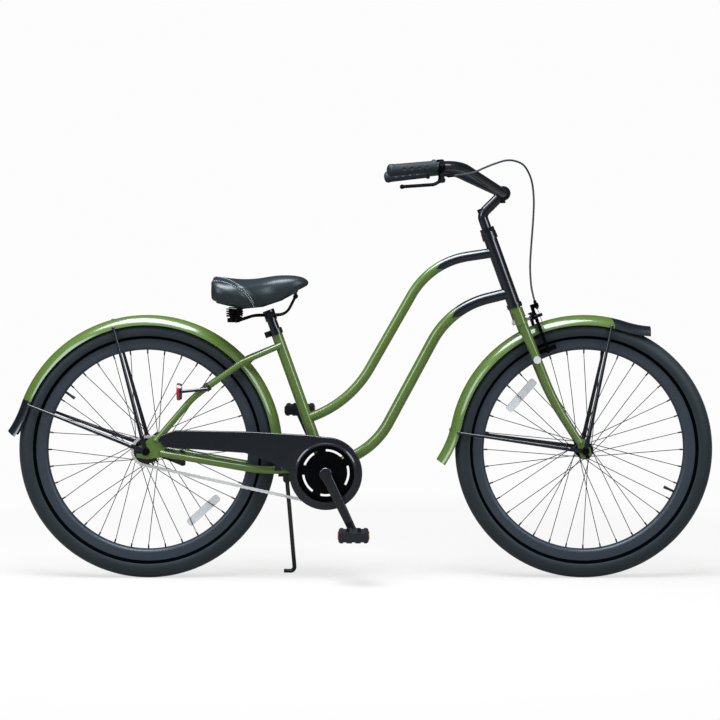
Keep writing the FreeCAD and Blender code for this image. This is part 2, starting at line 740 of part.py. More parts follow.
def fork_tip():
    """Right fork end: a plate round the axle with a slot open downwards."""
    y_from = -FORK_TIP_Y - DROPOUT_T / 2.0
    y_to = y_from + DROPOUT_T
    outline = [(14, 11), (30, 9), (36, -6), (30, -10), (12, -16), (-16, -16), (-16, 12), (4, 15)]
    wire = sketch(outline, lambda s, t: steer(s, FORK_RAKE + t, y_from))
    body = Part.Face(wire).extrude(LEFT * DROPOUT_T)
    gap = AXLE_R + RUNNING_GAP
    slot = Part.makeBox(2 * gap, DROPOUT_T * 3, 40, vec(-gap, y_from - DROPOUT_T, -40))
    slot.Placement = FreeCAD.Placement(FRONT_AXLE, FreeCAD.Rotation(UP, STEER_UP))
    eye = rod(FRONT_AXLE + LEFT * (y_from - 1), FRONT_AXLE + LEFT * (y_to + 1), gap)
    return body.cut([slot, eye])


def fork():
    """Fork with its steerer, crown, hollow raked blades and ends."""
    top = steer(FORK_LENGTH - 10, 0, -BLADE_SPREAD)
    bend = steer(150, 9, -BLADE_SPREAD - 1)
    end = steer(24, FORK_RAKE - 5, -FORK_TIP_Y)
    blade = bent_rod([top, bend, end], [650.0], BLADE_TOP_R, BLADE_END_R)
    steerer = rod(steer(FORK_LENGTH - CROWN_DEPTH), steer(STEERER_TOP), STEERER_R)
    race = rod(steer(FORK_LENGTH), steer(FORK_LENGTH + LOWER_STACK - CUP_HEIGHT - SEAT_GAP), CUP_R - 1.0)
    crown_r = 15.0
    middle = FORK_LENGTH - CROWN_DEPTH / 2.0
    bridge = Part.makeBox(2 * crown_r, 2 * BLADE_SPREAD, CROWN_DEPTH,
                          vec(-crown_r, -BLADE_SPREAD, -CROWN_DEPTH / 2.0))
    bridge = bridge.makeFillet(7.0, [e for e in bridge.Edges if abs(e.tangentAt(e.FirstParameter).y) > 0.9])
    bridge.Placement = FreeCAD.Placement(steer(middle), FreeCAD.Rotation(UP, STEER_UP))
    shoulder_low = steer(FORK_LENGTH - CROWN_DEPTH, 0, -BLADE_SPREAD)
    shoulder = rod(shoulder_low, steer(FORK_LENGTH, 0, -BLADE_SPREAD), crown_r)
    core_end = end + unit(bend - end) * 16.0
    core = bent_rod([top, bend, core_end], [650.0], BLADE_TOP_R - BLADE_WALL, BLADE_END_R - BLADE_WALL)
    breather = rod(core_end + LEFT * 30.0, core_end, BREATHER_R)
    breather.translate(unit(bend - end) * 8.0)
    right = fused([blade, fork_tip(), shoulder]).cut([core, breather])
    body = fused([right, mirrored(right), bridge, steerer, race])
    bore = rod(steer(FORK_LENGTH - CROWN_DEPTH), steer(STEERER_TOP), QUILL_R + RUNNING_GAP)
    brake_hole = rod(steer(CALIPER_S, -30), steer(CALIPER_S, 30), BRAKE_BOLT_R + RUNNING_GAP)
    return largest(body.cut([bore, brake_hole]))


def headset_locknut():
    """Upper bearing race and locknut on the steerer."""
    bore = STEERER_R + RUNNING_GAP
    race = pipe(steer(LOCKNUT_BASE), steer(LOCKNUT_BASE + 9), CUP_R - 0.5, bore)
    nut = hexagon(steer(LOCKNUT_BASE + 9.2), STEER_UP, 32.0, LOCKNUT_HEIGHT - 9.2, bore)
    return Part.makeCompound([race, nut])


STEM_CLAMP_R = BAR_CLAMP_R + 6.0
STEM_CLAMP_HALF = 21.0


def stem():
    """Gooseneck stem: a quill in the steerer, an elbow and a clamp for the handlebar."""
    quill = rod(steer(STEERER_TOP - 95), steer(STEERER_TOP + 1), QUILL_R)
    arm = bent_rod([steer(STEERER_TOP + 0.4), steer(ELBOW), BAR_CENTRE], [22.0], STEM_R)
    side = LEFT * STEM_CLAMP_HALF
    clamp = rod(BAR_CENTRE - side, BAR_CENTRE + side, STEM_CLAMP_R)
    bore = rod(BAR_CENTRE - side, BAR_CENTRE + side, BAR_CLAMP_R + RUNNING_GAP)
    return fused([quill, arm, clamp]).cut(bore)


def bar_points():
    """Corners of the right half of the handlebar's axis, middle first."""
    straight = BAR_CENTRE + vec(0, -BAR_STRAIGHT, 0)
    bend = BAR_CENTRE + vec(-BAR_BEND_BACK, -BAR_BEND_SIDE, BAR_BEND_UP)
    end = BAR_CENTRE + vec(-BAR_END_BACK, -BAR_END_SIDE, BAR_END_UP)
    return [BAR_CENTRE, straight, bend, end]


BAR_BENDS = [60.0, 115.0]


def handlebar():
    """Swept handlebar with a thicker middle sleeve."""
    half = bent_tube(bar_points(), BAR_BENDS, BAR_R, 2.0)
    sleeve_half = LEFT * 33.0
    sleeve = pipe(BAR_CENTRE - sleeve_half, BAR_CENTRE + sleeve_half, BAR_CLAMP_R, BAR_R - 0.5)
    return fused([half, mirrored(half), sleeve])


GRIP_AXIS = unit(bar_points()[3] - bar_points()[2])
GRIP_BASE = bar_points()[3] - GRIP_AXIS * GRIP_LENGTH
LEVER_DOWN = unit(-UP - GRIP_AXIS * (-UP).dot(GRIP_AXIS))
LEVER_AXIS = GRIP_AXIS.cross(LEVER_DOWN)
FINGERS = 4
DIMPLE_R = 10.0
DIMPLE_DEPTH = 2.2


def grip():
    """Right grip with a collar, four finger dimples on each side and a closed end."""
    bore = BAR_R + RUNNING_GAP
    end = GRIP_LENGTH + 5.0
    steps = [(bore, 0), (GRIP_R + 2.4, 0), (GRIP_R + 2.4, 4), (GRIP_R - 0.6, 8), (GRIP_R, GRIP_LENGTH - 12),
             (GRIP_R + 1.0, GRIP_LENGTH - 5), ((GRIP_R - 1.5, end - 2.5), (GRIP_R - 7, end)), (0, end),
             (0, GRIP_LENGTH + SEAT_GAP), (bore, GRIP_LENGTH + SEAT_GAP)]
    wire = sketch(steps, lambda radius, z: vec(radius, 0, z))
    body = placed(Part.Face(wire).revolve(vec(0, 0, 0), UP, 360.0), GRIP_BASE, GRIP_AXIS)
    aside = LEVER_AXIS * (GRIP_R + DIMPLE_R - DIMPLE_DEPTH)
    dimples = []
    for finger in range(FINGERS):
        along = GRIP_BASE + GRIP_AXIS * (26.0 + 20.0 * finger)
        dimples += [Part.makeSphere(DIMPLE_R, along + aside), Part.makeSphere(DIMPLE_R, along - aside)]
    return body.cut(dimples)


def grips():
    """Pair of rubber grips."""
    right = grip()
    return Part.makeCompound([right, mirrored(right)])


CLAMP_BEFORE_GRIP = 14.0
PIVOT_BELOW_BAR = 35.0
LEVER_LENGTH = 104.0
LEVER_R = 4.2
LEVER_CLAMP = GRIP_BASE - GRIP_AXIS * CLAMP_BEFORE_GRIP
LEVER_PIVOT = LEVER_CLAMP + LEVER_DOWN * PIVOT_BELOW_BAR
LEVER_EYE_HALF = 5.0
CABLE_START = LEVER_PIVOT - LEVER_DOWN * 9.0 - GRIP_AXIS * 33.0


def brake_lever_bracket():
    """Clamp on the right of the bar with two cheeks, a pivot pin and the cable stop."""
    ring_half = GRIP_AXIS * 7.0
    collar = pipe(LEVER_CLAMP - ring_half, LEVER_CLAMP + ring_half, BAR_R + 4.5, BAR_R + RUNNING_GAP)
    neck = rod(LEVER_CLAMP + LEVER_DOWN * 13.5, LEVER_PIVOT - LEVER_DOWN * 11.0, 6.0)
    pieces = [collar, neck]
    for side in (-1, 1):
        inner = LEVER_AXIS * (side * (LEVER_EYE_HALF + SEAT_GAP))
        outer = inner + LEVER_AXIS * (side * 3.0)
        pieces.append(rod(LEVER_PIVOT + inner, LEVER_PIVOT + outer, 7.0))
        lift = -LEVER_DOWN * 13.0
        pieces.append(rod(LEVER_PIVOT + inner + lift * 0.55, LEVER_PIVOT + outer + lift * 0.55, 5.0))
        pieces.append(rod(LEVER_PIVOT + inner + lift, LEVER_PIVOT + outer + lift, 5.0))
    top = LEVER_PIVOT - LEVER_DOWN * 13.0
    reach = LEVER_AXIS * (LEVER_EYE_HALF + SEAT_GAP + 1.0)
    pieces.append(rod(top - reach, top + reach, 4.0))
    pieces.append(rod(LEVER_PIVOT - LEVER_AXIS * 8.0, LEVER_PIVOT + LEVER_AXIS * 8.0, 2.5))
    pieces.append(rod(top - GRIP_AXIS * 2.0, CABLE_START + GRIP_AXIS * 14.0, 3.2))
    pieces.append(rod(CABLE_START + GRIP_AXIS * 16.0, CABLE_START + GRIP_AXIS * SEAT_GAP, 4.2))
    bar = bent_rod(bar_points(), BAR_BENDS, BAR_R + RUNNING_GAP)
    return fused(pieces).cut(bar)


def brake_lever():
    """Brake lever with its pivot eye and a ball end."""
    eye = rod(LEVER_PIVOT - LEVER_AXIS * LEVER_EYE_HALF, LEVER_PIVOT + LEVER_AXIS * LEVER_EYE_HALF, 6.0)
    knee = LEVER_PIVOT + GRIP_AXIS * 20.0 + LEVER_DOWN * 9.0
    tip = LEVER_PIVOT + GRIP_AXIS * LEVER_LENGTH + LEVER_DOWN * 7.0
    blade = bent_rod([LEVER_PIVOT, knee, tip], [24.0], LEVER_R)
    ball = Part.makeSphere(LEVER_R + 1.6, tip)
    hole = rod(LEVER_PIVOT - LEVER_AXIS * 9.0, LEVER_PIVOT + LEVER_AXIS * 9.0, 2.5 + RUNNING_GAP)
    return fused([eye, blade, ball]).cut(hole)


# Front brake
ARM_T = 8.0
LEFT_ARM_T = 27.0
RIGHT_ARM_T = LEFT_ARM_T + ARM_T + SEAT_GAP
WIRE_T = RIGHT_ARM_T + ARM_T + 6.0
WIRE_Y = -53.0
WIRE_R = 0.8
PAD_S = 276.0
PAD_GAP = 2.6
PAD_Y = RIM_WIDTH / 2.0 + PAD_GAP
BARREL_TOP = CALIPER_S + 30.0
CABLE_R = 2.5


def arm_plate(steps, forward, thickness=ARM_T):
    """A flat arm in the plane square to the brake bolt."""
    wire = sketch(steps, lambda y, s: steer(CALIPER_S + s, forward, y))
    return Part.Face(wire).extrude(STEER_FRONT * thickness)


def brake_pad(side, forward):
    """Brake shoe on its post and nut, beside the rim."""
    middle = forward + ARM_T / 2.0
    shoe = Part.makeBox(48, 11, 11, vec(-24, PAD_Y, -5.5))
    if side < 0:
        shoe = mirrored(shoe)
    shoe.Placement = FreeCAD.Placement(steer(PAD_S, middle), FreeCAD.Rotation(UP, STEER_UP))
    post = rod(steer(PAD_S, middle, side * (PAD_Y + 10)), steer(PAD_S, middle, side * 50), 3.0)
    nut = hexagon(steer(PAD_S, middle, side * 46), LEFT * side, 10.0, 5.0)
    return [shoe, post, nut]


def pivot_hole(forward):
    """Hole for the brake bolt through an arm."""
    start = steer(CALIPER_S, forward - 1)
    return rod(start, start + STEER_FRONT * (ARM_T + 2), BRAKE_BOLT_R + RUNNING_GAP)


def caliper_arm_right():
    """Arm that carries the right pad and the cable's barrel."""
    drop = PAD_S - CALIPER_S
    outline = [(0, 9), (-16, 10), (-26, 30), (-36, 30), (-36, 6), (-45, -8), (-46, drop - 8),
               (-36, drop - 8), (-35, -20), (-22, -9), (0, -9)]
    arm = arm_plate(outline, RIGHT_ARM_T)
    boss = rod(steer(CALIPER_S, RIGHT_ARM_T), steer(CALIPER_S, RIGHT_ARM_T + ARM_T), 10.0)
    lug = arm_plate([(-30, 20), (-30, 30), (WIRE_Y - 6, 30), (WIRE_Y - 6, 20)], RIGHT_ARM_T, ARM_T + 12)
    barrel = rod(steer(BARREL_TOP - 14, WIRE_T, WIRE_Y), steer(BARREL_TOP + 8, WIRE_T, WIRE_Y), 4.0)
    bore = rod(steer(CALIPER_S, WIRE_T, WIRE_Y), steer(BARREL_TOP + 20, WIRE_T, WIRE_Y), 1.9)
    return fused([arm, boss, lug, barrel] + brake_pad(-1, RIGHT_ARM_T)).cut([bore, pivot_hole(RIGHT_ARM_T)])


def caliper_arm_left():
    """Arm that carries the left pad and the cable's anchor."""
    drop = PAD_S - CALIPER_S
    outline = [(0, -9), (22, -9), (35, -20), (36, drop - 8), (46, drop - 8), (45, -6), (26, 9), (0, 9),
               (WIRE_Y - 6, 5), (WIRE_Y - 6, -7)]
    arm = arm_plate(outline, LEFT_ARM_T)
    boss = rod(steer(CALIPER_S, LEFT_ARM_T), steer(CALIPER_S, LEFT_ARM_T + ARM_T), 10.0)
    anchor = rod(steer(CALIPER_S - 1, LEFT_ARM_T, WIRE_Y), steer(CALIPER_S - 1, WIRE_T + 7, WIRE_Y), 4.2)
    bore = rod(steer(CALIPER_S - 12, WIRE_T, WIRE_Y), steer(CALIPER_S + 12, WIRE_T, WIRE_Y), 1.6)
    return fused([arm, boss, anchor] + brake_pad(1, LEFT_ARM_T)).cut([bore, pivot_hole(LEFT_ARM_T)])


# Corners of the brake cable's route, from the middle of the handlebar
CABLE_CORNERS = [(-88, -248, 46), (-44, -218, 66), (4, -178, 82), (44, -138, 72), (66, -108, 36),
                 (74, -86, -14), (73, -70, -70), (69, -60, -130), (66, -54, -190), (70, -53, -240)]


def cable_points():
    """The brake cable's route from the lever to the caliper's barrel."""
    points = [CABLE_START, CABLE_START - GRIP_AXIS * 20.0]
    points += [BAR_CENTRE + vec(*corner) for corner in CABLE_CORNERS]
    points.append(steer(BARREL_TOP + 8.4, WIRE_T, WIRE_Y))
    return points


def cable_bends(points):
    """The largest bend that each corner's two runs leave room for."""
    bends = []
    for index in range(1, len(points) - 1):
        back = points[index - 1] - points[index]
        ahead = points[index + 1] - points[index]
        turn = math.pi - back.getAngle(ahead)
        bends.append(0.45 * min(back.Length, ahead.Length) / math.tan(turn / 2.0))
    return bends


def brake_cable():
    """Cable housing, and the bare inner wire below it down to the anchor."""
    points = cable_points()
    bends = cable_bends(points)
    housing = bent_rod(points, bends, CABLE_R)
    wire = rod(steer(CALIPER_S - 22, WIRE_T, WIRE_Y), points[-1], WIRE_R)
    return Part.makeCompound([fused([housing, wire])])


# Fenders
def fender(axle, start, end, start_flare, end_flare):
    """Rounded sheet over a wheel between two angles, with flared ends."""
    half = FENDER_WIDTH / 2.0
    sheet = FENDER_SHEET
    steps = [(FENDER_EDGE_R, -half), ((FENDER_CROWN_R, 0), (FENDER_EDGE_R, half)),
             (FENDER_EDGE_R, half - sheet), ((FENDER_CROWN_R - sheet, 0), (FENDER_EDGE_R, sheet - half))]
    face = Part.Face(sketch(steps, lambda radius, y: axle + vec(radius, y, 0)))
    first = face.copy()
    first.rotate(axle, -LEFT, start)
    last = face.copy()
    last.rotate(axle, -LEFT, end)
    pieces = [first.revolve(axle, -LEFT, end - start)]
    for section, angle, length, axis in ((first, start, start_flare, -LEFT), (last, end, end_flare, LEFT)):
        if length:
            centre = radial(axle, FENDER_CROWN_R + FENDER_FLARE_R, angle)
            pieces.append(section.revolve(centre, axis, math.degrees(length / FENDER_FLARE_R)))
    return fused(pieces) if len(pieces) > 1 else pieces[0]


STAY_STRAP_T = 2.0
STAY_STRAP_WIDTH = 11.0
STAY_STRAP_LENGTH = 40.0
STAY_EYE_R = 10.5
STAY_FOOT_R = FENDER_EDGE_R + 6.0


def stay_foot_y():
    """How far out a stay's rod runs where it meets the fender's side."""
    half = FENDER_WIDTH / 2.0
    rise = FENDER_CROWN_R - FENDER_EDGE_R
    section_r = (half ** 2 + rise ** 2) / (2.0 * rise)
    middle = FENDER_CROWN_R - section_r
    return math.sqrt(section_r ** 2 - (STAY_FOOT_R - middle) ** 2) + STAY_ROD_R + 0.6


def fender_stays(axle, y_eye, angles, sheet):
    """Stays on both sides: a common eye on the axle, a strap and a tapered bar to each fender foot."""
    pieces = [ring(axle, AXLE_R + 0.15, STAY_EYE_R, -y_eye - STAY_STRAP_T, -y_eye)]
    for angle in angles:
        strap = Part.makeBox(STAY_STRAP_LENGTH, STAY_STRAP_T, STAY_STRAP_WIDTH,
                             axle + vec(8, -y_eye - STAY_STRAP_T, -STAY_STRAP_WIDTH / 2.0))
        strap.rotate(axle, -LEFT, angle)
        start = radial(axle, STAY_STRAP_LENGTH, angle, -y_eye - STAY_STRAP_T / 2.0)
        end = radial(axle, STAY_FOOT_R, angle, -stay_foot_y())
        taper = Part.makeCone(STAY_HUB_R, STAY_ROD_R, (end - start).Length, start, end - start)
        pieces += [strap, taper, Part.makeSphere(STAY_ROD_R, end)]
    right = largest(fused(pieces).cut(sheet))
    return Part.makeCompound([right, mirrored(right)])


REAR_STAY_ANGLES = (105.0, 159.0)
FRONT_STAY_ANGLES = (77.9, 172.0)
REAR_STAY_Y = REAR_OPENING / 2.0 + DROPOUT_T + SEAT_GAP
FRONT_STAY_Y = FRONT_OPENING / 2.0 + DROPOUT_T + SEAT_GAP


# Drive
def chain_turn():
    """Angle that brings the laid-out chain to the line between the two sprockets, in degrees."""
    return -math.degrees(math.asin(BB_DROP / CENTRES))


def to_bike(shape):
    """Move a piece laid out along X, with the chainring at the origin, to its place on the bicycle."""
    moved = shape.copy()
    bike = FreeCAD.Placement(BB - LEFT * CHAIN_LINE, FreeCAD.Rotation(-LEFT, chain_turn()))
    moved.Placement = bike.multiply(shape.Placement)
    return moved


def toothed_disc(teeth, pitch_r, phase):
    """A sprocket plate about Y at the origin, with a tooth gap at the phase angle."""
    seat_r = ROLLER_R + 0.3
    tip_r = pitch_r + 3.4
    half = TOOTH_WIDTH / 2.0
    disc = Part.makeCylinder(tip_r, TOOTH_WIDTH, vec(0, -half, 0), LEFT)
    mouth = CHAIN_PITCH / 2.0 - 0.6
    gaps = []
    for index in range(teeth):
        turn = phase + 2.0 * math.pi * index / teeth
        seat = Part.makeCylinder(seat_r, 2 * TOOTH_WIDTH, vec(pitch_r, -TOOTH_WIDTH, 0), LEFT)
        flare = plate([(pitch_r, -seat_r), (pitch_r, seat_r), (tip_r + 1, mouth), (tip_r + 1, -mouth)],
                      -TOOTH_WIDTH, TOOTH_WIDTH)
        gap = seat.fuse(flare)
        gap.rotate(vec(0, 0, 0), -LEFT, math.degrees(turn))
        gaps.append(gap)
    return disc.cut(gaps)


BOSS_R = 17.0
RING_SLOTS = 5
SLOT_INNER_R = 55.0
SLOT_OUTER_R = 60.5
SLOT_HALF_ANGLE = 25.0


def ring_phase():
    """Angle of the first roller on the chainring."""
    return math.pi / 2.0 + math.asin((CHAINRING_R - SPROCKET_R) / CENTRES)


def chainring():
    """Toothed ring with narrow curved slots, on the right crank's boss."""
    disc = toothed_disc(CHAINRING_TEETH, CHAINRING_R, ring_phase())
    cuts = [Part.makeCylinder(BOSS_R + RUNNING_GAP, 20, vec(0, -10, 0), LEFT)]
    for index in range(RING_SLOTS):
        middle = 360.0 / RING_SLOTS * index

        def at(radius, part_way):
            turn = math.radians(middle + part_way)
            return radius * math.cos(turn), radius * math.sin(turn)

        slot = [at(SLOT_INNER_R, -SLOT_HALF_ANGLE), (at(SLOT_INNER_R, 0), at(SLOT_INNER_R, SLOT_HALF_ANGLE)),
                at(SLOT_OUTER_R, SLOT_HALF_ANGLE), (at(SLOT_OUTER_R, 0), at(SLOT_OUTER_R, -SLOT_HALF_ANGLE))]
        cuts.append(plate(slot, -10, 10))
    return to_bike(disc.cut(cuts))


def rear_sprocket():
    """Sprocket on the coaster hub's driver, which runs on the axle."""
    phase = lay_chain(CENTRES)[1]
    disc = toothed_disc(SPROCKET_TEETH, SPROCKET_R, phase)
    driver = Part.makeCylinder(14.0, 14.0, vec(0, -8, 0), LEFT)
    bore = Part.makeCylinder(AXLE_R + RUNNING_GAP, 40, vec(0, -20, 0), LEFT)
    body = fused([disc, driver]).cut(bore)
    body.translate(vec(-CENTRES, 0, 0))
    return to_bike(body)


def chain_plate(y_from, y_to):
    """One side plate of a link, from the origin along X."""
    radius = 4.2
    waist = 3.3
    ends = [Part.makeCylinder(radius, y_to - y_from, vec(x, y_from, 0), LEFT) for x in (0, CHAIN_PITCH)]
    web = block((0, CHAIN_PITCH), (y_from, y_to), (-waist, waist))
    return ends[0].fuse([ends[1], web])


def chain_links():
    """The inner and the outer link, from the origin along X."""
    inner_half = 1.65
    sheet = 0.95
    outer_half = inner_half + sheet + 0.1
    pin_r = 1.7
    pin_end = outer_half + sheet + 0.4

    def bars(radius, half):
        """A bar across each end of the link."""
        return [rod(vec(x, -half, 0), vec(x, half, 0), radius) for x in (0, CHAIN_PITCH)]

    def pair(half):
        """The two plates of a link."""
        return [chain_plate(-half - sheet, -half), chain_plate(half, half + sheet)]

    inner = fused(pair(inner_half) + bars(ROLLER_R, inner_half)).cut(bars(pin_r + 0.25, 6.0))
    outer = fused(pair(outer_half) + bars(pin_r, pin_end))
    return inner, outer


def chain():
    """Roller chain laid round the chainring and the sprocket."""
    rollers = lay_chain(CENTRES)[0]
    links = chain_links()
    group = []
    for index, here in enumerate(rollers):
        there = rollers[(index + 1) % len(rollers)]
        link = links[index % 2].copy()
        middle = (here + there) * 0.5
        along = unit(there - here)
        angle = math.degrees(math.atan2(along.z, along.x))
        base = middle - along * (CHAIN_PITCH / 2.0)
        link.Placement = FreeCAD.Placement(base, FreeCAD.Rotation(-LEFT, angle))
        group.append(to_bike(link))
    return Part.makeCompound(group)


CRANK_END_R = 13.0


def crank_point(side, y):
    """The pedal's centre on a crank, right at side -1 and left at side 1."""
    return radial(BB, -side * CRANK_LENGTH, CRANK_REST_ANGLE, y)


def on_plane(edge, y):
    """Whether an edge lies in a plane square to the Y axis."""
    return abs(edge.BoundBox.YMin - y) < 1e-4 and abs(edge.BoundBox.YMax - y) < 1e-4


def crank(side):
    """Crank arm with its boss, bored for the axle and the pedal."""
    y_from, y_to = sorted((side * CRANK_INNER_Y, side * (CRANK_INNER_Y + CRANK_T)))
    boss = rod(vec(0, y_from, 0), vec(0, y_to, 0), BOSS_R)
    end = rod(vec(CRANK_LENGTH, y_from, 0), vec(CRANK_LENGTH, y_to, 0), CRANK_END_R)
    web = plate([(0, -14), (0, 14), (CRANK_LENGTH, 10), (CRANK_LENGTH, -10)], y_from, y_to)
    outer = side * (CRANK_INNER_Y + CRANK_T)
    arm = fused([boss, end, web])
    arm = arm.makeFillet(CRANK_ROUND, [edge for edge in arm.Edges if on_plane(edge, outer)])
    inner = side * (BB_SHELL_WIDTH / 2.0 + 5.0)
    neck = rod(vec(0, inner, 0), vec(0, side * CRANK_INNER_Y, 0), BOSS_R)
    arm = fused([arm, neck])
    bores = [rod(vec(0, -120, 0), vec(0, 120, 0), SPINDLE_R + RUNNING_GAP),
             rod(vec(CRANK_LENGTH, -120, 0), vec(CRANK_LENGTH, 120, 0), PEDAL_AXLE_R + RUNNING_GAP)]
    arm = arm.cut(bores)
    angle = CRANK_REST_ANGLE if side < 0 else CRANK_REST_ANGLE + 180.0
    arm.Placement = FreeCAD.Placement(BB, FreeCAD.Rotation(-LEFT, angle))
    return arm


PEDAL_FROM = CRANK_INNER_Y + CRANK_T + 6.0
PEDAL_TO = PEDAL_FROM + PEDAL_WIDTH


def crank_axle():
    """Bottom bracket axle, its two bolts and the two pedal axles."""
    outer = CRANK_INNER_Y + CRANK_T
    group = [rod(BB - LEFT * outer, BB + LEFT * outer, SPINDLE_R)]
    for side in (-1, 1):
        group.append(hexagon(BB + LEFT * (side * (outer + 0.1)), LEFT * side, 14.0, 5.0))
        centre = crank_point(side, 0)
        across = LEFT * side
        shaft = rod(centre + across * CRANK_INNER_Y, centre + across * (PEDAL_TO - 3), PEDAL_AXLE_R)
        collar = rod(centre + across * (outer + 0.1), centre + across * (PEDAL_FROM - 0.5), 7.5)
        group.append(fused([shaft, collar]))
    return Part.makeCompound(group)


def pedal(side):
    """Block pedal: two treads between end plates, on a sleeve round the axle."""
    y_from, y_to = sorted((side * PEDAL_FROM, side * PEDAL_TO))
    body = block((-PEDAL_LENGTH / 2.0, PEDAL_LENGTH / 2.0), (y_from, y_to), (-PEDAL_T / 2.0, PEDAL_T / 2.0))
    edges = [e for e in body.Edges if abs(e.tangentAt(e.FirstParameter).y) > 0.9]
    body = body.makeFillet(7.0, edges)
    windows = []
    for end in (-1, 1):
        low, high = sorted((end * 10.0, end * 19.0))
        windows.append(block((low, high), (y_from + 9, y_to - 9), (-PEDAL_T, PEDAL_T)))
    bore_end = side * (PEDAL_TO - 2.5)
    bore = rod(vec(0, side * (PEDAL_FROM - 1), 0), vec(0, bore_end, 0), PEDAL_AXLE_R + RUNNING_GAP)
    grooves = []
    for middle in (-22, 0, 22):
        for low, high in ((PEDAL_T / 2.0 - 2.4, PEDAL_T), (-PEDAL_T, 2.4 - PEDAL_T / 2.0)):
            grooves.append(block((middle - 4, middle + 4), (y_from - 1, y_to + 1), (low, high)))
    body = body.cut(windows + grooves + [bore])
    body.translate(crank_point(side, 0))
    return body


GUARD_BOLT_REAR = vec(REAR_AXLE.x + 60, 0, REAR_AXLE.z + 26)
GUARD_BOLT_FRONT = vec(BB.x - 122, 0, BB.z + 46)
SCREW_R = 3.0


def guard_outline(inset):
    """Outline of the guard's arm, drawn in by an inset."""
    x = BB.x
    z = BB.z
    tail = REAR_AXLE.x
    return [(x, z + GUARD_R - inset), (x - 45, z + 98.5 - inset), (x - 190, z + 107 - inset),
            (tail + 77, z + 111 - inset), (tail + 38 + inset, z + 98 - inset), (tail + 31 + inset, z + 88),
            (tail + 46 + inset, z + 67.5 + inset), (x - 205, z + 52.7 + inset),
            (x - 130, z + 26 + inset), (x - 88, z + inset), (x, z)]


def chain_guard():
    """Pressed guard: a ring round the chainring and a long arm, edged inward but open for the chain."""
    outer = -GUARD_Y - GUARD_SHEET
    inner = -GUARD_Y + GUARD_FLANGE

    def pressed(inset, y_from, y_to):
        disc = Part.makeCylinder(GUARD_R - inset, y_to - y_from, vec(BB.x, y_from, BB.z), LEFT)
        return disc.fuse(plate(guard_outline(inset), y_from, y_to)).removeSplitter()

    shell = pressed(0.0, outer, inner)
    shell = shell.makeFillet(GUARD_ROUND, [edge for edge in shell.Edges if on_plane(edge, outer)])
    mouth = GUARD_OPENING_R
    lip = spun([(mouth - 1, -GUARD_Y), (mouth - 1, outer - 1.0), (mouth + 1, outer - 1.7),
                (mouth + 3.5, outer - 1.7), (mouth + 7, outer), (mouth + 7, -GUARD_Y)], BB)
    body = fused([shell.cut(pressed(GUARD_SHEET, -GUARD_Y, inner + 1)), lip])
    cuts = [Part.makeCylinder(mouth, 40, vec(BB.x, outer - 10, BB.z), LEFT)]
    for bolt in (GUARD_BOLT_REAR, GUARD_BOLT_FRONT):
        cuts.append(rod(bolt + LEFT * (outer - 1), bolt + LEFT * (inner + 1), SCREW_R + 0.1))
    tail = REAR_AXLE.x
    x = BB.x
    z = BB.z
    open_side = [(tail + 20, z + 103), (tail + 62, z + 103), (tail + 60, z + 76), (x - 200, z + 60),
                 (x - 100, z + 20), (x - 60, z + 20), (x - 60, z - 60), (tail + 20, z - 60)]
    cuts.append(plate(open_side, -GUARD_Y, inner + 1))
    return body.cut(cuts)


# Seat
SEAT_CLAMP_POINT = on_seat_tube((SADDLE_HEIGHT - 16.0 - BB.z) / SEAT_UP.z)
NOSE_X = SEAT_CLAMP_POINT.x + 96.0
POST_INSERT = 150.0
POST_NECK_R = 11.1
POST_NECK = 34.0

# Distance behind the nose, share of the half width, and height of the crown and of the lower edge
SADDLE_STATIONS = [(-4, 0.09, 70, 62), (4, 0.16, 77, 57), (24, 0.29, 84, 47), (64, 0.40, 86, 25),
                   (112, 0.58, 80, 9), (160, 0.90, 76, 5), (200, 1.00, 79, 13), (229, 0.93, 82, 20),
                   (242, 0.74, 80, 26)]


def station(entry):
    """A saddle section's X, half width, crown height and lower edge height."""
    back, share, crown, edge = entry
    return (NOSE_X - back * SADDLE_LENGTH / 245.0, share * SADDLE_WIDTH / 2.0,
            SADDLE_HEIGHT + crown, SADDLE_HEIGHT + edge)


def saddle_section(entry):
    """One section of the cushion: flat below, sides drawn in and a crowned top."""
    x, half, crown, edge = station(entry)
    height = crown - edge
    low = half * 0.86
    high = half * 0.84
    waist = edge + height * 0.42
    brow = edge + height * 0.80
    steps = [(-low, edge), (low, edge), ((half, waist), (high, brow)), ((0.0, crown), (-high, brow)),
             ((-half, waist), (-low, edge))]
    return sketch(steps, lambda y, z: vec(x, y, z))


def saddle_cover():
    """Padded saddle cover, hollowed for the pan under it."""
    cushion = Part.makeLoft([saddle_section(entry) for entry in SADDLE_STATIONS], True, False)
    return largest(cushion.cut(saddle_pan()))


PAN_T = 3.0
HINGE_BACK = 30.0
SPRING_BACK = 186.0
SPRING_Y = 56.0
HINGE_DROP = 8.5


def saddle_pan():
    """Pressed pan under the cushion, with the front hinge eye."""
    sections = []
    for entry in SADDLE_STATIONS[2:-1]:
        x, half, crown, edge = station(entry)
        top = edge - SEAT_GAP
        base = top - PAN_T
        wide = half * 0.74
        corners = [vec(x, -wide, top), vec(x, wide, top), vec(x, wide, base), vec(x, -wide, base)]
        sections.append(Part.makePolygon(corners + corners[:1]))
    shell = Part.makeLoft(sections, True, True)
    eye = ring(SADDLE_HINGE, RAIL_R + RUNNING_GAP, RAIL_R + 3.0, -5, 5)
    tab_low = SADDLE_HINGE.z + RAIL_R + 1
    tab = block((SADDLE_HINGE.x - 4, SADDLE_HINGE.x + 4), (-5, 5), (tab_low, SADDLE_HINGE.z + 10))
    return fused([shell, eye, tab])


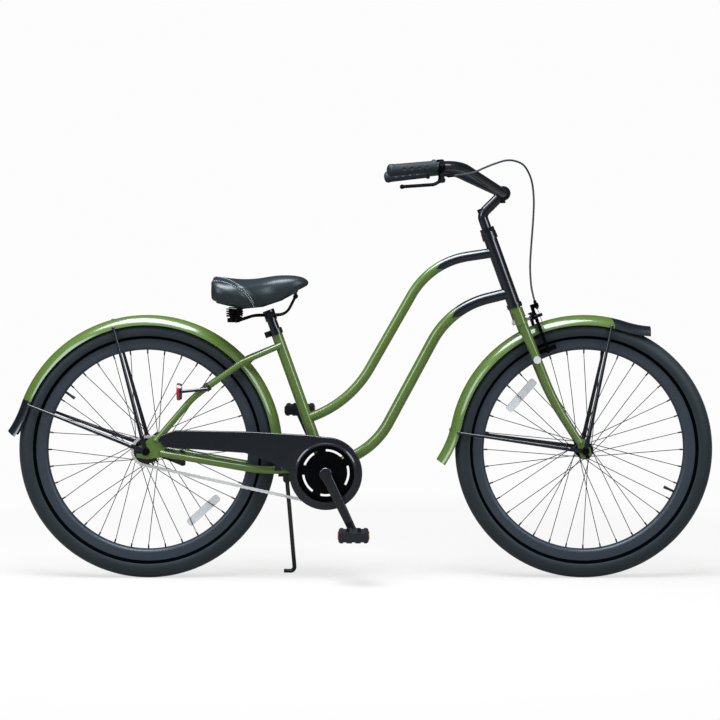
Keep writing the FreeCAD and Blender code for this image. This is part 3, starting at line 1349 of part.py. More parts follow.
def pan_height(back):
    """Height of the pan's underside at a distance behind the nose."""
    for first, second in zip(SADDLE_STATIONS, SADDLE_STATIONS[1:]):
        if first[0] <= back <= second[0]:
            share = (back - first[0]) / (second[0] - first[0])
            return SADDLE_HEIGHT + first[3] + share * (second[3] - first[3]) - SEAT_GAP - PAN_T
    return SADDLE_HEIGHT


SADDLE_HINGE = vec(NOSE_X - HINGE_BACK, 0, pan_height(HINGE_BACK) - HINGE_DROP)
SPRING_X = NOSE_X - SPRING_BACK
SPRING_TOP = min(pan_height(SPRING_BACK - SPRING_COIL_R), pan_height(SPRING_BACK + SPRING_COIL_R)) - SEAT_GAP
SPRING_BASE = SPRING_TOP - SPRING_HEIGHT


def arc_from(start, tangent, end):
    """An arc that leaves its start along a tangent."""
    chord = end - start
    along = unit(chord)
    lean = tangent - along * tangent.dot(along)
    sag = chord.Length / 2.0 * math.tan(along.getAngle(tangent) / 2.0)
    return Part.Arc(start, start + chord * 0.5 + unit(lean) * sag, end).toShape()


def spring_wire(centre_y):
    """The coil's centre line as two tangent arcs for each quarter turn."""
    low = SPRING_BASE + SPRING_WIRE_R
    climb = (SPRING_HEIGHT - 2.0 * SPRING_WIRE_R) / SPRING_TURNS

    def at(turns):
        angle = 2.0 * math.pi * turns
        across = SPRING_COIL_R * math.cos(angle)
        aside = SPRING_COIL_R * math.sin(angle)
        point = vec(SPRING_X + across, centre_y + aside, low + climb * turns)
        return point, unit(vec(-aside, across, climb / (2.0 * math.pi)))

    edges = []
    for quarter in range(int(SPRING_TURNS * 4)):
        start, leave = at(quarter / 4.0)
        end, arrive = at((quarter + 1) / 4.0)
        chord = end - start
        both = leave + arrive
        spread = 2.0 * (1.0 - leave.dot(arrive))
        shared = chord.dot(both)
        reach = (math.sqrt(shared ** 2 + 2.0 * spread * chord.dot(chord)) - shared) / spread
        join = (start + end + (leave - arrive) * reach) * 0.5
        edges.append(arc_from(start, leave, join))
        edges.append(arc_from(join, unit(start + leave * reach - join) * -1.0, end))
    return Part.Wire(edges), at(0.0)


def saddle_springs():
    """Pair of coil springs under the back of the saddle."""
    group = []
    for side in (-1, 1):
        wire, start = spring_wire(side * SPRING_Y)
        group.append(wire.makePipeShell([circle(start[0], start[1], SPRING_WIRE_R)], True, False))
    return Part.makeCompound(group)


def rail_points():
    """Corners of the right rail's axis, nose first."""
    return [vec(SADDLE_HINGE.x, -9, SADDLE_HINGE.z),
            vec(SEAT_CLAMP_POINT.x + 42, -RAIL_SPREAD, SEAT_CLAMP_POINT.z + 1),
            vec(SEAT_CLAMP_POINT.x - 40, -RAIL_SPREAD, SEAT_CLAMP_POINT.z - 1),
            vec(SPRING_X + 6, -SPRING_Y, SPRING_BASE - RAIL_R - 6.0)]


RAIL_BENDS = [34.0, 30.0]


def saddle_rails():
    """Two wire rails joined by a front bar, with a seat for each spring."""
    spring_foot = vec(SPRING_X, -SPRING_Y, SPRING_BASE)
    rail = bent_rod(rail_points(), RAIL_BENDS, RAIL_R)
    seat = rod(spring_foot - UP * 11.0, spring_foot - UP * SEAT_GAP, SPRING_COIL_R)
    right = fused([rail, seat])
    front = rod(SADDLE_HINGE - LEFT * 10.0, SADDLE_HINGE + LEFT * 10.0, RAIL_R)
    cross = rod(spring_foot - UP * 7.0, spring_foot - UP * 7.0 + LEFT * (2.0 * SPRING_Y), 2.6)
    return right.fuse([mirrored(right), cross, front])


def seat_post():
    """Seat post with a narrower neck for the saddle clamp."""
    foot = on_seat_tube(SEAT_TUBE_LENGTH - POST_INSERT)
    neck = SEAT_CLAMP_POINT - SEAT_UP * 16.0
    body = pipe(foot, neck, SEAT_POST_R, SEAT_POST_R - 2.0)
    top = rod(neck - SEAT_UP * 6.0, SEAT_CLAMP_POINT + SEAT_UP * 12.0, POST_NECK_R)
    return fused([body, top])


def saddle_clamp():
    """Clamp on the post's neck that grips both rails, with its cross bolt."""
    side = LEFT * 29.0
    barrel = rod(SEAT_CLAMP_POINT - side, SEAT_CLAMP_POINT + side, 10.5)
    sleeve = rod(SEAT_CLAMP_POINT - SEAT_UP * 15.0, SEAT_CLAMP_POINT + SEAT_UP * 13.0, POST_NECK_R + 4.0)
    rail = bent_rod(rail_points(), RAIL_BENDS, RAIL_R + RUNNING_GAP)
    reach = SEAT_UP * 30.0
    neck = rod(SEAT_CLAMP_POINT - reach, SEAT_CLAMP_POINT + reach, POST_NECK_R + RUNNING_GAP)
    body = fused([barrel, sleeve]).cut([rail, mirrored(rail), neck])
    nuts = []
    for end in (-1, 1):
        nuts.append(hexagon(SEAT_CLAMP_POINT + LEFT * (end * 29.1), LEFT * end, 13.0, 6.0))
    return Part.makeCompound([body] + nuts)


# Kickstand
STAND_PIVOT = vec(BB.x - 102.0, 34.0, BB.z - 24.0)
STAND_FORWARD = 19.0
STAND_FOOT = 28.0
STAND_FLAT = 1.0
STAND_EYE_HALF = 5.5
STAND_PIN_R = 4.0


def kickstand_leg():
    """Leg with its pivot eye, a splayed rod and a foot bent to the rear, flat underneath."""
    foot_z = STAND_R - STAND_FLAT
    splay = (STAND_PIVOT.z - foot_z) * math.tan(math.radians(STAND_SPLAY))
    ankle = vec(STAND_PIVOT.x + STAND_FORWARD, STAND_PIVOT.y + splay, foot_z)
    toe = ankle + vec(-STAND_FOOT, 3, 0)
    leg = bent_rod([STAND_PIVOT, ankle, toe], [12.0], STAND_R)
    eye = rod(STAND_PIVOT - LEFT * STAND_EYE_HALF, STAND_PIVOT + LEFT * STAND_EYE_HALF, 10.0)
    hole = rod(STAND_PIVOT - LEFT * 40.0, STAND_PIVOT + LEFT * 40.0, STAND_PIN_R + RUNNING_GAP)
    ground = block((ankle.x - 80, ankle.x + 80), (ankle.y - 80, ankle.y + 80), (-40, 0))
    face = STAND_PIVOT.y + STAND_EYE_HALF
    cheek_room = block((STAND_PIVOT.x - 14, STAND_PIVOT.x + 14), (face, face + 5),
                       (STAND_PIVOT.z - 16, STAND_PIVOT.z + 20))
    return fused([leg.cut(cheek_room), eye]).cut([hole, ground])


STAY_UNDERSIDE = BB.z + 5.8 - CHAIN_STAY_R


def kickstand_bracket():
    """Plate under the chain stays with two cheeks and the stand's pivot pin."""
    x = STAND_PIVOT.x
    top = STAY_UNDERSIDE - SEAT_GAP
    base = top - 5.0
    pieces = [block((x - 20, x + 20), (-40, STAND_PIVOT.y + 10), (base, top))]
    for side in (-1, 1):
        inner = STAND_PIVOT.y + side * (STAND_EYE_HALF + SEAT_GAP)
        low, high = sorted((inner, inner + side * 3.5))
        pieces.append(block((x - 10, x + 10), (low, high), (STAND_PIVOT.z, base + 1)))
        pieces.append(rod(vec(x, low, STAND_PIVOT.z), vec(x, high, STAND_PIVOT.z), 10.0))
    pin_half = STAND_EYE_HALF + SEAT_GAP + 5.5
    pieces.append(rod(STAND_PIVOT - LEFT * pin_half, STAND_PIVOT + LEFT * pin_half, STAND_PIN_R))
    stay = chain_stay_room(SEAT_GAP)
    return fused(pieces).cut([stay, mirrored(stay)])


# Rear hub brake, reflectors and fasteners
def stay_axis(points, share, side):
    """A point and the direction on a stay's last straight run, on one side of the bicycle."""
    start, end = points[-2], points[-1]
    point = start + (end - start) * share
    along = unit(end - start)
    return vec(point.x, -side * point.y, point.z), vec(along.x, -side * along.y, along.z)


COASTER_Y = (37.4, 43.0)
CLIP_SHARE = 0.80


def coaster_arm():
    """Brake plate and arm on the left of the hub, held to the chain stay by a clip and bolt."""
    point, along = stay_axis(chain_stay_points(), CLIP_SHARE, 1)
    eye = vec(point.x, 0, point.z - 26.0)
    cover = ring(REAR_AXLE, AXLE_R + RUNNING_GAP, 25.0, COASTER_Y[0], COASTER_Y[1])
    outline = [(REAR_AXLE.x, REAR_AXLE.z + 13), (eye.x, eye.z + 8), (eye.x, eye.z - 8),
               (REAR_AXLE.x, REAR_AXLE.z - 13)]
    strip = plate(outline, COASTER_Y[0] + 1.5, COASTER_Y[1])
    nose = rod(eye + LEFT * (COASTER_Y[0] + 1.5), eye + LEFT * COASTER_Y[1], 8.0)
    axle_hole = rod(REAR_AXLE - LEFT * 60.0, REAR_AXLE + LEFT * 60.0, AXLE_R + RUNNING_GAP)
    bolt_hole = rod(eye, eye + LEFT * 80.0, SCREW_R + RUNNING_GAP)
    arm = fused([cover, strip, nose]).cut([axle_hole, bolt_hole])
    stay = chain_stay_room(0.1)
    band = rod(point - along * 6.0, point + along * 6.0, CHAIN_STAY_END_R + 3.4)
    lug = block((eye.x - 6, eye.x + 6), (COASTER_Y[1] + 0.2, point.y + 4), (eye.z - 7, point.z - 5))
    clip = fused([band, lug]).cut([mirrored(stay), bolt_hole])
    bolt = rod(eye + LEFT * (COASTER_Y[0] - 3), eye + LEFT * (point.y + 8), SCREW_R)
    head = hexagon(eye + LEFT * (COASTER_Y[0] + 1.4), -LEFT, 10.0, 5.0)
    nut = hexagon(eye + LEFT * (point.y + 4.1), LEFT, 10.0, 5.0)
    return Part.makeCompound([arm, clip, fused([bolt, head, nut])])


REFLECTOR_R = 22.0
REFLECTOR_DEPTH = 8.0
REAR_LENS = vec(REAR_AXLE.x + 88.0, -66.0, REAR_AXLE.z + 153.0)


def rear_reflector():
    """Round red reflector facing the rear."""
    back = vec(-1, 0, 0)
    body = Part.makeCylinder(REFLECTOR_R, REFLECTOR_DEPTH, REAR_LENS, back)
    rear_edge = [e for e in body.Edges if e.BoundBox.XMax < REAR_LENS.x - REFLECTOR_DEPTH / 2.0]
    return body.makeFillet(2.0, rear_edge)


def rear_reflector_bracket():
    """Backing disc and arm from the reflector to a band on the right seat stay."""
    points = stay_points()
    start, end = points[1], points[2]
    along = unit(end - start)
    point = start + (end - start) * 0.72
    full = bent_rod(points, [90.0, 240.0], SEAT_STAY_R + 0.1)
    band = rod(point - along * 6.0, point + along * 6.0, SEAT_STAY_R + 3.0)
    disc = rod(REAR_LENS + vec(0.1, 0, 0), REAR_LENS + vec(4.0, 0, 0), REFLECTOR_R - 2.0)
    knee = point + vec(0, -14, -4)
    arm = rod(knee, REAR_LENS + vec(2.0, 0, 0), 4.0)
    foot = rod(point + vec(0, -9, -1), knee, 4.0)
    return fused([band, disc, arm, foot, Part.makeSphere(4.0, knee)]).cut(full)


def guard_screw(bolt, inner_y):
    """Spacer, shank and head of a screw that holds the guard."""
    face = -GUARD_Y - GUARD_SHEET
    spacer = rod(bolt + LEFT * inner_y, bolt + LEFT * (-GUARD_Y + 0.1), SCREW_R + 2.2)
    shank = rod(bolt + LEFT * inner_y, bolt + LEFT * (face - 1.0), SCREW_R)
    head = rod(bolt + LEFT * (face - 0.1), bolt + LEFT * (face - GUARD_HEAD_T), SCREW_R + 3.0)
    return fused([spacer, shank, head])


def frame_fasteners():
    """Guard screws with their bracket, and the rear fender's bridge bolt."""
    rear = guard_screw(GUARD_BOLT_REAR, -DROPOUT_Y - DROPOUT_T / 2.0 - 0.1)
    stay = chain_stay_room(0.1)
    x = GUARD_BOLT_FRONT.x
    foot = block((x - 8, x + 8), (-53, -38), (BB.z + 6, BB.z + 20))
    tab = block((x - 8, x + 8), (-53, -50), (BB.z + 6, GUARD_BOLT_FRONT.z + 8))
    bracket = largest(fused([foot, tab]).cut(stay))
    front = fused([bracket, guard_screw(GUARD_BOLT_FRONT, -52.0)])
    bridge = stay_bridge_centre()
    to_bridge = vec(bridge.x, 0, bridge.z) - REAR_AXLE
    outward = unit(to_bridge)
    bolt_start = REAR_AXLE + outward * (FENDER_CROWN_R + 0.1)
    bolt = rod(bolt_start, REAR_AXLE + outward * (to_bridge.Length - 4.6), 5.0)
    return Part.makeCompound([rear, front, bolt])


LAMP_BOSS_S = 262.0


def steering_fasteners():
    """Brake bolt with its spacer and nuts, stem bolts and the cap on the right blade's lamp boss."""
    front = RIGHT_ARM_T + ARM_T
    bolt = rod(steer(CALIPER_S, -22.0), steer(CALIPER_S, front + 8.0), BRAKE_BOLT_R)
    bolt = fused([bolt, hexagon(steer(CALIPER_S, front + SEAT_GAP), STEER_FRONT, 11.0, 5.5)])
    back = hexagon(steer(CALIPER_S, -15.1), -STEER_FRONT, 11.0, 5.5, BRAKE_BOLT_R + 0.02)
    spacer = pipe(steer(CALIPER_S, 15.1), steer(CALIPER_S, LEFT_ARM_T - SEAT_GAP), 7.0, BRAKE_BOLT_R + 0.02)
    body = stem()
    expander = hexagon(steer(ELBOW - 4), STEER_UP, 13.0, 19.0).cut(body)
    clamp_bolt = hexagon(BAR_CENTRE, -UP, 12.0, STEM_CLAMP_R + 6.0)
    inside = rod(BAR_CENTRE - LEFT * 30, BAR_CENTRE + LEFT * 30, STEM_CLAMP_R + 0.1)
    clamp_bolt = clamp_bolt.cut([inside, body])
    cap_y = -BLADE_SPREAD - 12.2
    cap = rod(steer(LAMP_BOSS_S, 4.5, cap_y + 4), steer(LAMP_BOSS_S, 4.5, cap_y - 3.5), 9.5).cut(fork())
    return Part.makeCompound([bolt, back, spacer, largest(expander), largest(clamp_bolt), largest(cap)])


FRONT_VALVE_ANGLE = -25.0
REAR_VALVE_ANGLE = 145.0
HUB_ENDS = (36.8, -36.8)
WHEEL_REFLECTOR_R = 212.0


def nodes():
    """Every piece of the bicycle by name."""
    rear_fender = fender(REAR_AXLE, REAR_FENDER_START, REAR_FENDER_END, 0, REAR_FLARE)
    front_fender = fender(FRONT_AXLE, FRONT_FENDER_START, FRONT_FENDER_END,
                          FRONT_NOSE_FLARE, FRONT_TAIL_FLARE)
    rear_spacers = (CHAIN_LINE + 8.4, COASTER_Y[1] + 0.3)
    front_spacers = (HUB_ENDS[0] + 0.3, HUB_ENDS[0] + 0.3)
    return {
        "head_tube": head_tube(), "upper_tube": upper_tube(), "lower_tube": lower_tube(),
        "seat_tube": seat_tube(), "seat_stays": seat_stays(), "chain_stays": chain_stays(),
        "headset_cups": headset_cups(), "bottom_bracket_cups": bottom_bracket_cups(),
        "seat_clamp": seat_clamp(), "chain_guard": chain_guard(),
        "rear_fender": rear_fender,
        "rear_fender_stays": fender_stays(REAR_AXLE, REAR_STAY_Y, REAR_STAY_ANGLES, rear_fender),
        "rear_axle": axle_set(REAR_AXLE, REAR_OPENING / 2.0, DROPOUT_T, STAY_STRAP_T, rear_spacers, 168.0),
        "coaster_arm": coaster_arm(), "rear_reflector": rear_reflector(),
        "rear_reflector_bracket": rear_reflector_bracket(), "kickstand_bracket": kickstand_bracket(),
        "frame_fasteners": frame_fasteners(), "chain": chain(), "kickstand_leg": kickstand_leg(),
        "chainring": chainring(), "right_crank": crank(-1), "left_crank": crank(1),
        "crank_axle": crank_axle(), "right_pedal": pedal(-1), "left_pedal": pedal(1),
        "rear_sprocket": rear_sprocket(), "rear_tyre": tyre(REAR_AXLE),
        "rear_inner_tube": inner_tube(REAR_AXLE, REAR_VALVE_ANGLE),
        "rear_rim": rim(REAR_AXLE, REAR_VALVE_ANGLE), "rear_spokes": spokes(REAR_AXLE, REAR_FLANGE_R),
        "rear_hub": hub(REAR_AXLE, REAR_FLANGE_R, 24.0, *HUB_ENDS),
        "rear_wheel_reflector": wheel_reflector(REAR_AXLE, -48.0, WHEEL_REFLECTOR_R),
        "front_tyre": tyre(FRONT_AXLE), "front_inner_tube": inner_tube(FRONT_AXLE, FRONT_VALVE_ANGLE),
        "front_rim": rim(FRONT_AXLE, FRONT_VALVE_ANGLE), "front_spokes": spokes(FRONT_AXLE, FRONT_FLANGE_R),
        "front_hub": hub(FRONT_AXLE, FRONT_FLANGE_R, 14.0, *HUB_ENDS),
        "front_wheel_reflector": wheel_reflector(FRONT_AXLE, 139.0, WHEEL_REFLECTOR_R),
        "front_axle": axle_set(FRONT_AXLE, FRONT_OPENING / 2.0, DROPOUT_T, STAY_STRAP_T,
                               front_spacers, 150.0),
        "fork": fork(), "headset_locknut": headset_locknut(), "stem": stem(), "handlebar": handlebar(),
        "grips": grips(), "brake_lever_bracket": brake_lever_bracket(), "brake_lever": brake_lever(),
        "brake_cable": brake_cable(), "caliper_arm_right": caliper_arm_right(),
        "caliper_arm_left": caliper_arm_left(),
        "front_fender": front_fender,
        "front_fender_stays": fender_stays(FRONT_AXLE, FRONT_STAY_Y, FRONT_STAY_ANGLES, front_fender),
        "steering_fasteners": steering_fasteners(), "seat_post": seat_post(),
        "saddle_clamp": saddle_clamp(), "saddle_rails": saddle_rails(), "saddle_springs": saddle_springs(),
        "saddle_pan": saddle_pan(), "saddle_cover": saddle_cover(),
    }


def main():
    """Write each piece to its own file."""
    os.makedirs("parts", exist_ok=True)
    for name, shape in nodes().items():
        if not shape.isValid():
            print("not valid:", name)
        shape.exportStep("parts/%s.step" % name)


if __name__ == "__main__":
    main()
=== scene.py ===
"""Beach cruiser bicycle: finishes, padded saddle, springs, reflectors, screws and a plain studio."""

import json
import math

import bmesh
import bpy
from mathutils import Matrix, Vector
from mathutils.bvhtree import BVHTree


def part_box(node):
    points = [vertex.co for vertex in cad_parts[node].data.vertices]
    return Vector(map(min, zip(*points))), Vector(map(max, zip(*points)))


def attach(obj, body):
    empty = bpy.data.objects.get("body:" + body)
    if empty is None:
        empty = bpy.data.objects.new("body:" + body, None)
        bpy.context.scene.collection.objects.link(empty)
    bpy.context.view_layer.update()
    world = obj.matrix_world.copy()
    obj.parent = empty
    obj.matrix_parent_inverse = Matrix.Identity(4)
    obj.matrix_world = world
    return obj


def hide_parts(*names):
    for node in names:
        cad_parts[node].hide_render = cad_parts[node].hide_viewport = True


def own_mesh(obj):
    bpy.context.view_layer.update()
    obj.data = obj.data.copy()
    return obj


bl_info = {
    "name": "Beach cruiser finish",
    "version": (1, 0, 0),
    "blender": (4, 5, 0),
    "location": "View3D > Sidebar > Cruiser",
    "description": "Dresses the packed beach cruiser with its finishes, saddle, trim and studio",
    "category": "Object",
}

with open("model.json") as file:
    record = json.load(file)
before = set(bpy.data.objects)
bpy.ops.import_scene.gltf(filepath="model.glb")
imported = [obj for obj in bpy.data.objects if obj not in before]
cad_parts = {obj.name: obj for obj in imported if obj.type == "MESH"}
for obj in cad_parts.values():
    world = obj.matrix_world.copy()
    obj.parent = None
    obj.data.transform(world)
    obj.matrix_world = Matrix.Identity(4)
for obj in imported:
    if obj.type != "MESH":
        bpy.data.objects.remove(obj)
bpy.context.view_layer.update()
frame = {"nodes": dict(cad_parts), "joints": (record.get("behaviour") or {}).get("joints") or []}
NODES = frame["nodes"]
JOINTS = {joint["name"]: joint for joint in frame["joints"]}
REAR_AXLE = Vector(JOINTS["rear_wheel_spin"]["pos_m"])
FRONT_AXLE = Vector(JOINTS["front_wheel_spin"]["pos_m"])
MM = 0.001

# Both ends of the bicycle, each with its wheel's axle and the body that carries its fender
ENDS = (("rear", REAR_AXLE, "frame"), ("front", FRONT_AXLE, "steering"))

# Where the paint of the frame tubes turns black: the tips of its spears along the bicycle, in metres,
# the length of a spear for its half width, and the half length of tube that is measured for its middle
TWO_TONE = (("upper_tube", 0.195, "two_tone_upper"), ("lower_tube", 0.234, "two_tone_lower"))
SPEAR_SLOPE = 2.0
TUBE_SLICE = 12 * MM

# Black ends of the fenders: the angle round the wheel at which each begins on the crown, in degrees, and
# its fall per metre to the side; a place below the lowest angle is on the fender's other end
REAR_TIP = (157.8, 15.0)
FRONT_TIP = (79.6, 97.0)
LOWEST_ANGLE = -90.0

# Height above which the steering's bolts are black, in metres
BRIGHT_BOLTS_TOP = 0.75

# Small screws: angles round the wheels in degrees, height of the heads and radius of the stays' ends
CROWN_SCREWS = {"rear": (104.9,), "front": (171.5,)}
STAY_SCREWS = {"rear": (105.0, 159.0), "front": (77.9, 172.0)}
CROWN_HEAD = 2.6 * MM
STAY_HEAD = 2.4 * MM
STAY_END_RADIUS = 0.3245

# Length, height and rounding of a pedal reflector
LENS_LENGTH = 52 * MM
LENS_HEIGHT = 15 * MM
LENS_EDGE = 1.1 * MM

# Where rays start that look for a place on a surface, well clear of it, in metres
OUTSIDE_WHEEL = 0.6
BESIDE_STAYS = 0.2
BESIDE_SADDLE = 0.3
BEHIND_SADDLE = 0.6

# Tyre: tread blocks round the crown, half width of the crown, ring spacing on the side wall, and the
# radius up to which the bead is painted near black without gloss or sheen: a painted shadow in the groove
# beside the rim's flange
TREAD_ROWS = 90.0
TREAD_BLOCK = 16 * MM
TREAD_GROOVE = 0.16
TREAD_CROWN = 17 * MM
WALL_RING = 3.2 * MM
WALL_SHARE = 0.08
GROOVE_SHADOW_RADIUS = 0.2932
TYRE_SHEEN = 0.18
TYRE_GLOSS = 0.5

# Side view of the saddle's seam, in metres, the height at which it crosses the back, and how the cover
# is drawn in along it and swells beside it
SEAM = ((-0.352, 0.768), (-0.340, 0.765), (-0.326, 0.760), (-0.312, 0.753), (-0.298, 0.743),
        (-0.286, 0.731), (-0.276, 0.717), (-0.269, 0.703), (-0.264, 0.692))
SEAM_BACK_Z = 0.766
SEAM_BACK_STEPS = 16
SEAM_REACH = 22 * MM
SEAM_DEPTH = 1.5 * MM
SEAM_WIDTH = 3.2 * MM
SWELL_HEIGHT = 1.0 * MM
SWELL_PLACE = 11 * MM
SWELL_WIDTH = 6 * MM

# Studio: floor and wall in metres, shares of light, each lamp's size and place, and the point they face
FLOOR_REACH = 9.0
WALL_HEIGHT = 7.0
WALL_BEND = 3.0
PAPER_NEAR = 0.9
PAPER_FAR = 2.0
PAPER_SHADOW = 0.68
PAPER_GLOW = 0.98
PAPER_DIM = 0.75
WORLD_LIGHT = 0.32
WORLD_GLOSS = 0.05
KEY_LAMP = ((3.2, 2.0), (-0.6, -0.9, 3.8))
SIDE_LAMP = ((1.4, 1.8), (2.8, -2.4, 2.0))
LAMP_TINT = (0.87, 0.95, 1.0)
LAMP_AIM = (0.0, 0.0, 0.5)


def linear(code):
    """Linear red, green, blue and alpha of an sRGB hex value."""
    parts = [int(code[at:at + 2], 16) / 255.0 for at in (1, 3, 5)]
    values = [part / 12.92 if part <= 0.04045 else ((part + 0.055) / 1.055) ** 2.4 for part in parts]
    return (*values, 1.0)


def colour(code, name, description):
    """A colour property with an sRGB default."""
    return bpy.props.FloatVectorProperty(name=name, description=description, subtype="COLOR", size=4,
                                         min=0.0, max=1.0, default=linear(code))


def length(value, name, description):
    """A length property in metres."""
    return bpy.props.FloatProperty(name=name, description=description, unit="LENGTH", min=0.0,
                                   default=value)


class CruiserColours(bpy.types.PropertyGroup):
    """Colours of the bicycle's finishes."""

    green: colour("#51692b", "Green enamel", "Frame, fork and fender paint")
    green_deep: colour("#475d23", "Deep green", "Green enamel where it lies thicker")
    black: colour("#08101a", "Black enamel", "Head tube, handlebar, stays and guard paint")
    tyre: colour("#0f1a20", "Tyre", "Tyre rubber")
    rim: colour("#464d57", "Rim", "Anodised rim")
    steel: colour("#d8d9da", "Steel", "Bright steel of the chain")
    grime: colour("#bdbbb8", "Chain oil", "Oil film between the chain's links")
    vinyl: colour("#161f24", "Saddle vinyl", "Saddle cover")
    thread: colour("#9aa0a3", "Thread", "Saddle stitching")
    rubber: colour("#141b20", "Grip rubber", "Handlebar grips and inner tubes")
    plastic: colour("#11171c", "Black plastic", "Pedals and saddle pan")
    amber: colour("#d9761c", "Amber", "Pedal reflectors")
    red: colour("#b8152a", "Red", "Rear reflector")
    clear: colour("#f2f4f5", "Clear", "Wheel reflectors")


class CruiserSizes(bpy.types.PropertyGroup):
    """Sizes of the pieces that are added to the frame."""

    saddle_voxel: length(0.0035, "Saddle detail", "Size of the saddle's remeshed faces")
    stitch: length(0.0062, "Stitch", "Length of one saddle stitch with its gap")
    stitch_rows: length(0.0085, "Stitch rows", "Distance between the two rows of stitches")
    thread: length(0.0008, "Thread", "Radius of the stitching thread")
    screw: length(0.0042, "Screw head", "Radius of the small fender screws")
    lens_depth: length(0.004, "Lens depth", "Depth of a pedal reflector")


class CruiserStage(bpy.types.PropertyGroup):
    """Camera, lamps and floor."""

    floor: colour("#cac4bf", "Floor", "Studio floor and backdrop")
    distance: length(6.0, "Camera distance", "Distance from the camera to the bicycle's middle plane")
    height: length(0.881, "Camera height", "Height of the camera above the floor")
    across: length(0.0, "Camera across", "Camera's place along the bicycle")
    focal: bpy.props.FloatProperty(name="Focal length", description="In millimetres, on a 36 mm sensor",
                                   default=117.0, min=10.0, max=400.0)
    tilt: bpy.props.FloatProperty(name="Tilt", description="Camera tilt below level", subtype="ANGLE",
                                  default=math.radians(3.06))
    key: bpy.props.FloatProperty(name="Key lamp", description="Power of the large lamp overhead, in watts",
                                 default=290.0, min=0.0)
    fill: bpy.props.FloatProperty(name="Side lamps", description="Power of each lamp at the sides, in watts",
                                  default=45.0, min=0.0)


# Shared tools
def colours():
    """Colours set on the scene."""
    return bpy.context.scene.cruiser_colours


def sizes():
    """Sizes set on the scene."""
    return bpy.context.scene.cruiser_sizes


def add(tree, kind, sockets=None, **settings):
    """Add a node, set its properties and fill its sockets with values or links."""
    made = tree.nodes.new(kind)
    for key, value in settings.items():
        setattr(made, key, value)
    for key, value in (sockets or {}).items():
        if isinstance(value, bpy.types.NodeSocket):
            tree.links.new(value, made.inputs[key])
        else:
            made.inputs[key].default_value = value
    return made


def surface(name, **sockets):
    """A material with one shader whose constant sockets are set directly."""
    made = bpy.data.materials.new(name)
    made.use_nodes = True
    shader = made.node_tree.nodes["Principled BSDF"]
    for key, value in sockets.items():
        shader.inputs[key.replace("_", " ")].default_value = value
    return made, made.node_tree, shader


def wear(node, material):
    """Give a CAD node one material all over."""
    slots = NODES[node].material_slots
    if not slots:
        NODES[node].data.materials.append(material)
    for slot in slots:
        slot.link = "OBJECT"
        slot.material = material


def settle(name, mesh, body, material):
    """Make a bmesh a piece that rides on a body."""
    bmesh.ops.recalc_face_normals(mesh, faces=mesh.faces)
    data = bpy.data.meshes.new(name)
    mesh.to_mesh(data)
    mesh.free()
    piece = bpy.data.objects.new(name, data)
    bpy.context.scene.collection.objects.link(piece)
    data.materials.append(material)
    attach(piece, body)
    return piece


def shade(piece, degrees=35.0):
    """Smooth faces with the sharp edges kept."""
    piece.data.shade_smooth()
    piece.data.set_sharp_from_angle(angle=math.radians(degrees))


def facing(point, outward):
    """A placement at a point with its Z axis along a direction."""
    turn = Vector(outward).to_track_quat("Z", "Y").to_matrix().to_4x4()
    return Matrix.Translation(point) @ turn


def join(mesh, made, place):
    """Copy a small bmesh into another at a placement."""
    data = bpy.data.meshes.new("pattern")
    made.to_mesh(data)
    data.transform(place)
    mesh.from_mesh(data)
    bpy.data.meshes.remove(data)


def from_axle(tree, axle):
    """Distance from a wheel's axle, angle round it in degrees and distance from the middle plane."""
    place = add(tree, "ShaderNodeTexCoord").outputs["Object"]
    offset = add(tree, "ShaderNodeVectorMath", {0: place, 1: axle}, operation="SUBTRACT").outputs[0]
    split = add(tree, "ShaderNodeSeparateXYZ", {0: offset}).outputs
    reach = add(tree, "ShaderNodeMath", {0: split["X"], 1: 2.0}, operation="POWER").outputs[0]
    rise = add(tree, "ShaderNodeMath", {0: split["Z"], 1: 2.0}, operation="POWER").outputs[0]
    total = add(tree, "ShaderNodeMath", {0: reach, 1: rise}).outputs[0]
    radius = add(tree, "ShaderNodeMath", {0: total}, operation="SQRT").outputs[0]
    turn = add(tree, "ShaderNodeMath", {0: split["Z"], 1: split["X"]}, operation="ARCTAN2").outputs[0]
    angle = add(tree, "ShaderNodeMath", {0: turn}, operation="DEGREES").outputs[0]
    side = add(tree, "ShaderNodeMath", {0: split["Y"]}, operation="ABSOLUTE").outputs[0]
    return radius, angle, side


def ripple(tree, shader, size, depth, detail=2.0):
    """Fine unevenness: a noise of one cell size as a bump of the given depth, both in metres."""
    place = add(tree, "ShaderNodeTexCoord").outputs["Object"]
    noise = add(tree, "ShaderNodeTexNoise", {"Vector": place, "Scale": 1.0 / size, "Detail": detail})
    bump = add(tree, "ShaderNodeBump", {"Height": noise.outputs[0], "Distance": depth, "Strength": 1.0})
    tree.links.new(bump.outputs[0], shader.inputs["Normal"])
    return noise.outputs[0]


# Finishes
# A Mix node takes colours at sockets 6 and 7 and gives one at 2; its sockets' names are those for numbers too
def enamel(name, light, deep, mask=None):
    """Gloss stove enamel under clear lacquer: a deep colour, sharp highlights and a faint orange peel."""
    made, tree, shader = surface(name, Roughness=0.32, IOR=1.5, Coat_Weight=1.0, Coat_Roughness=0.06)
    ripple(tree, shader, 2.2 * MM, 0.012 * MM)
    place = add(tree, "ShaderNodeTexCoord").outputs["Object"]
    cloud = add(tree, "ShaderNodeTexNoise",
                {"Vector": place, "Scale": 1.0 / (70 * MM), "Detail": 3.0}).outputs[0]
    paint = add(tree, "ShaderNodeMix", {0: cloud, 6: light, 7: deep}, data_type="RGBA").outputs[2]
    if mask:
        paint = add(tree, "ShaderNodeMix", {0: mask(tree), 6: paint, 7: colours().black},
                    data_type="RGBA").outputs[2]
    tree.links.new(paint, shader.inputs["Base Color"])
    return made


def green_enamel(name="green_enamel", mask=None):
    """Green stove enamel, black where masked."""
    return enamel(name, colours().green, colours().green_deep, mask)


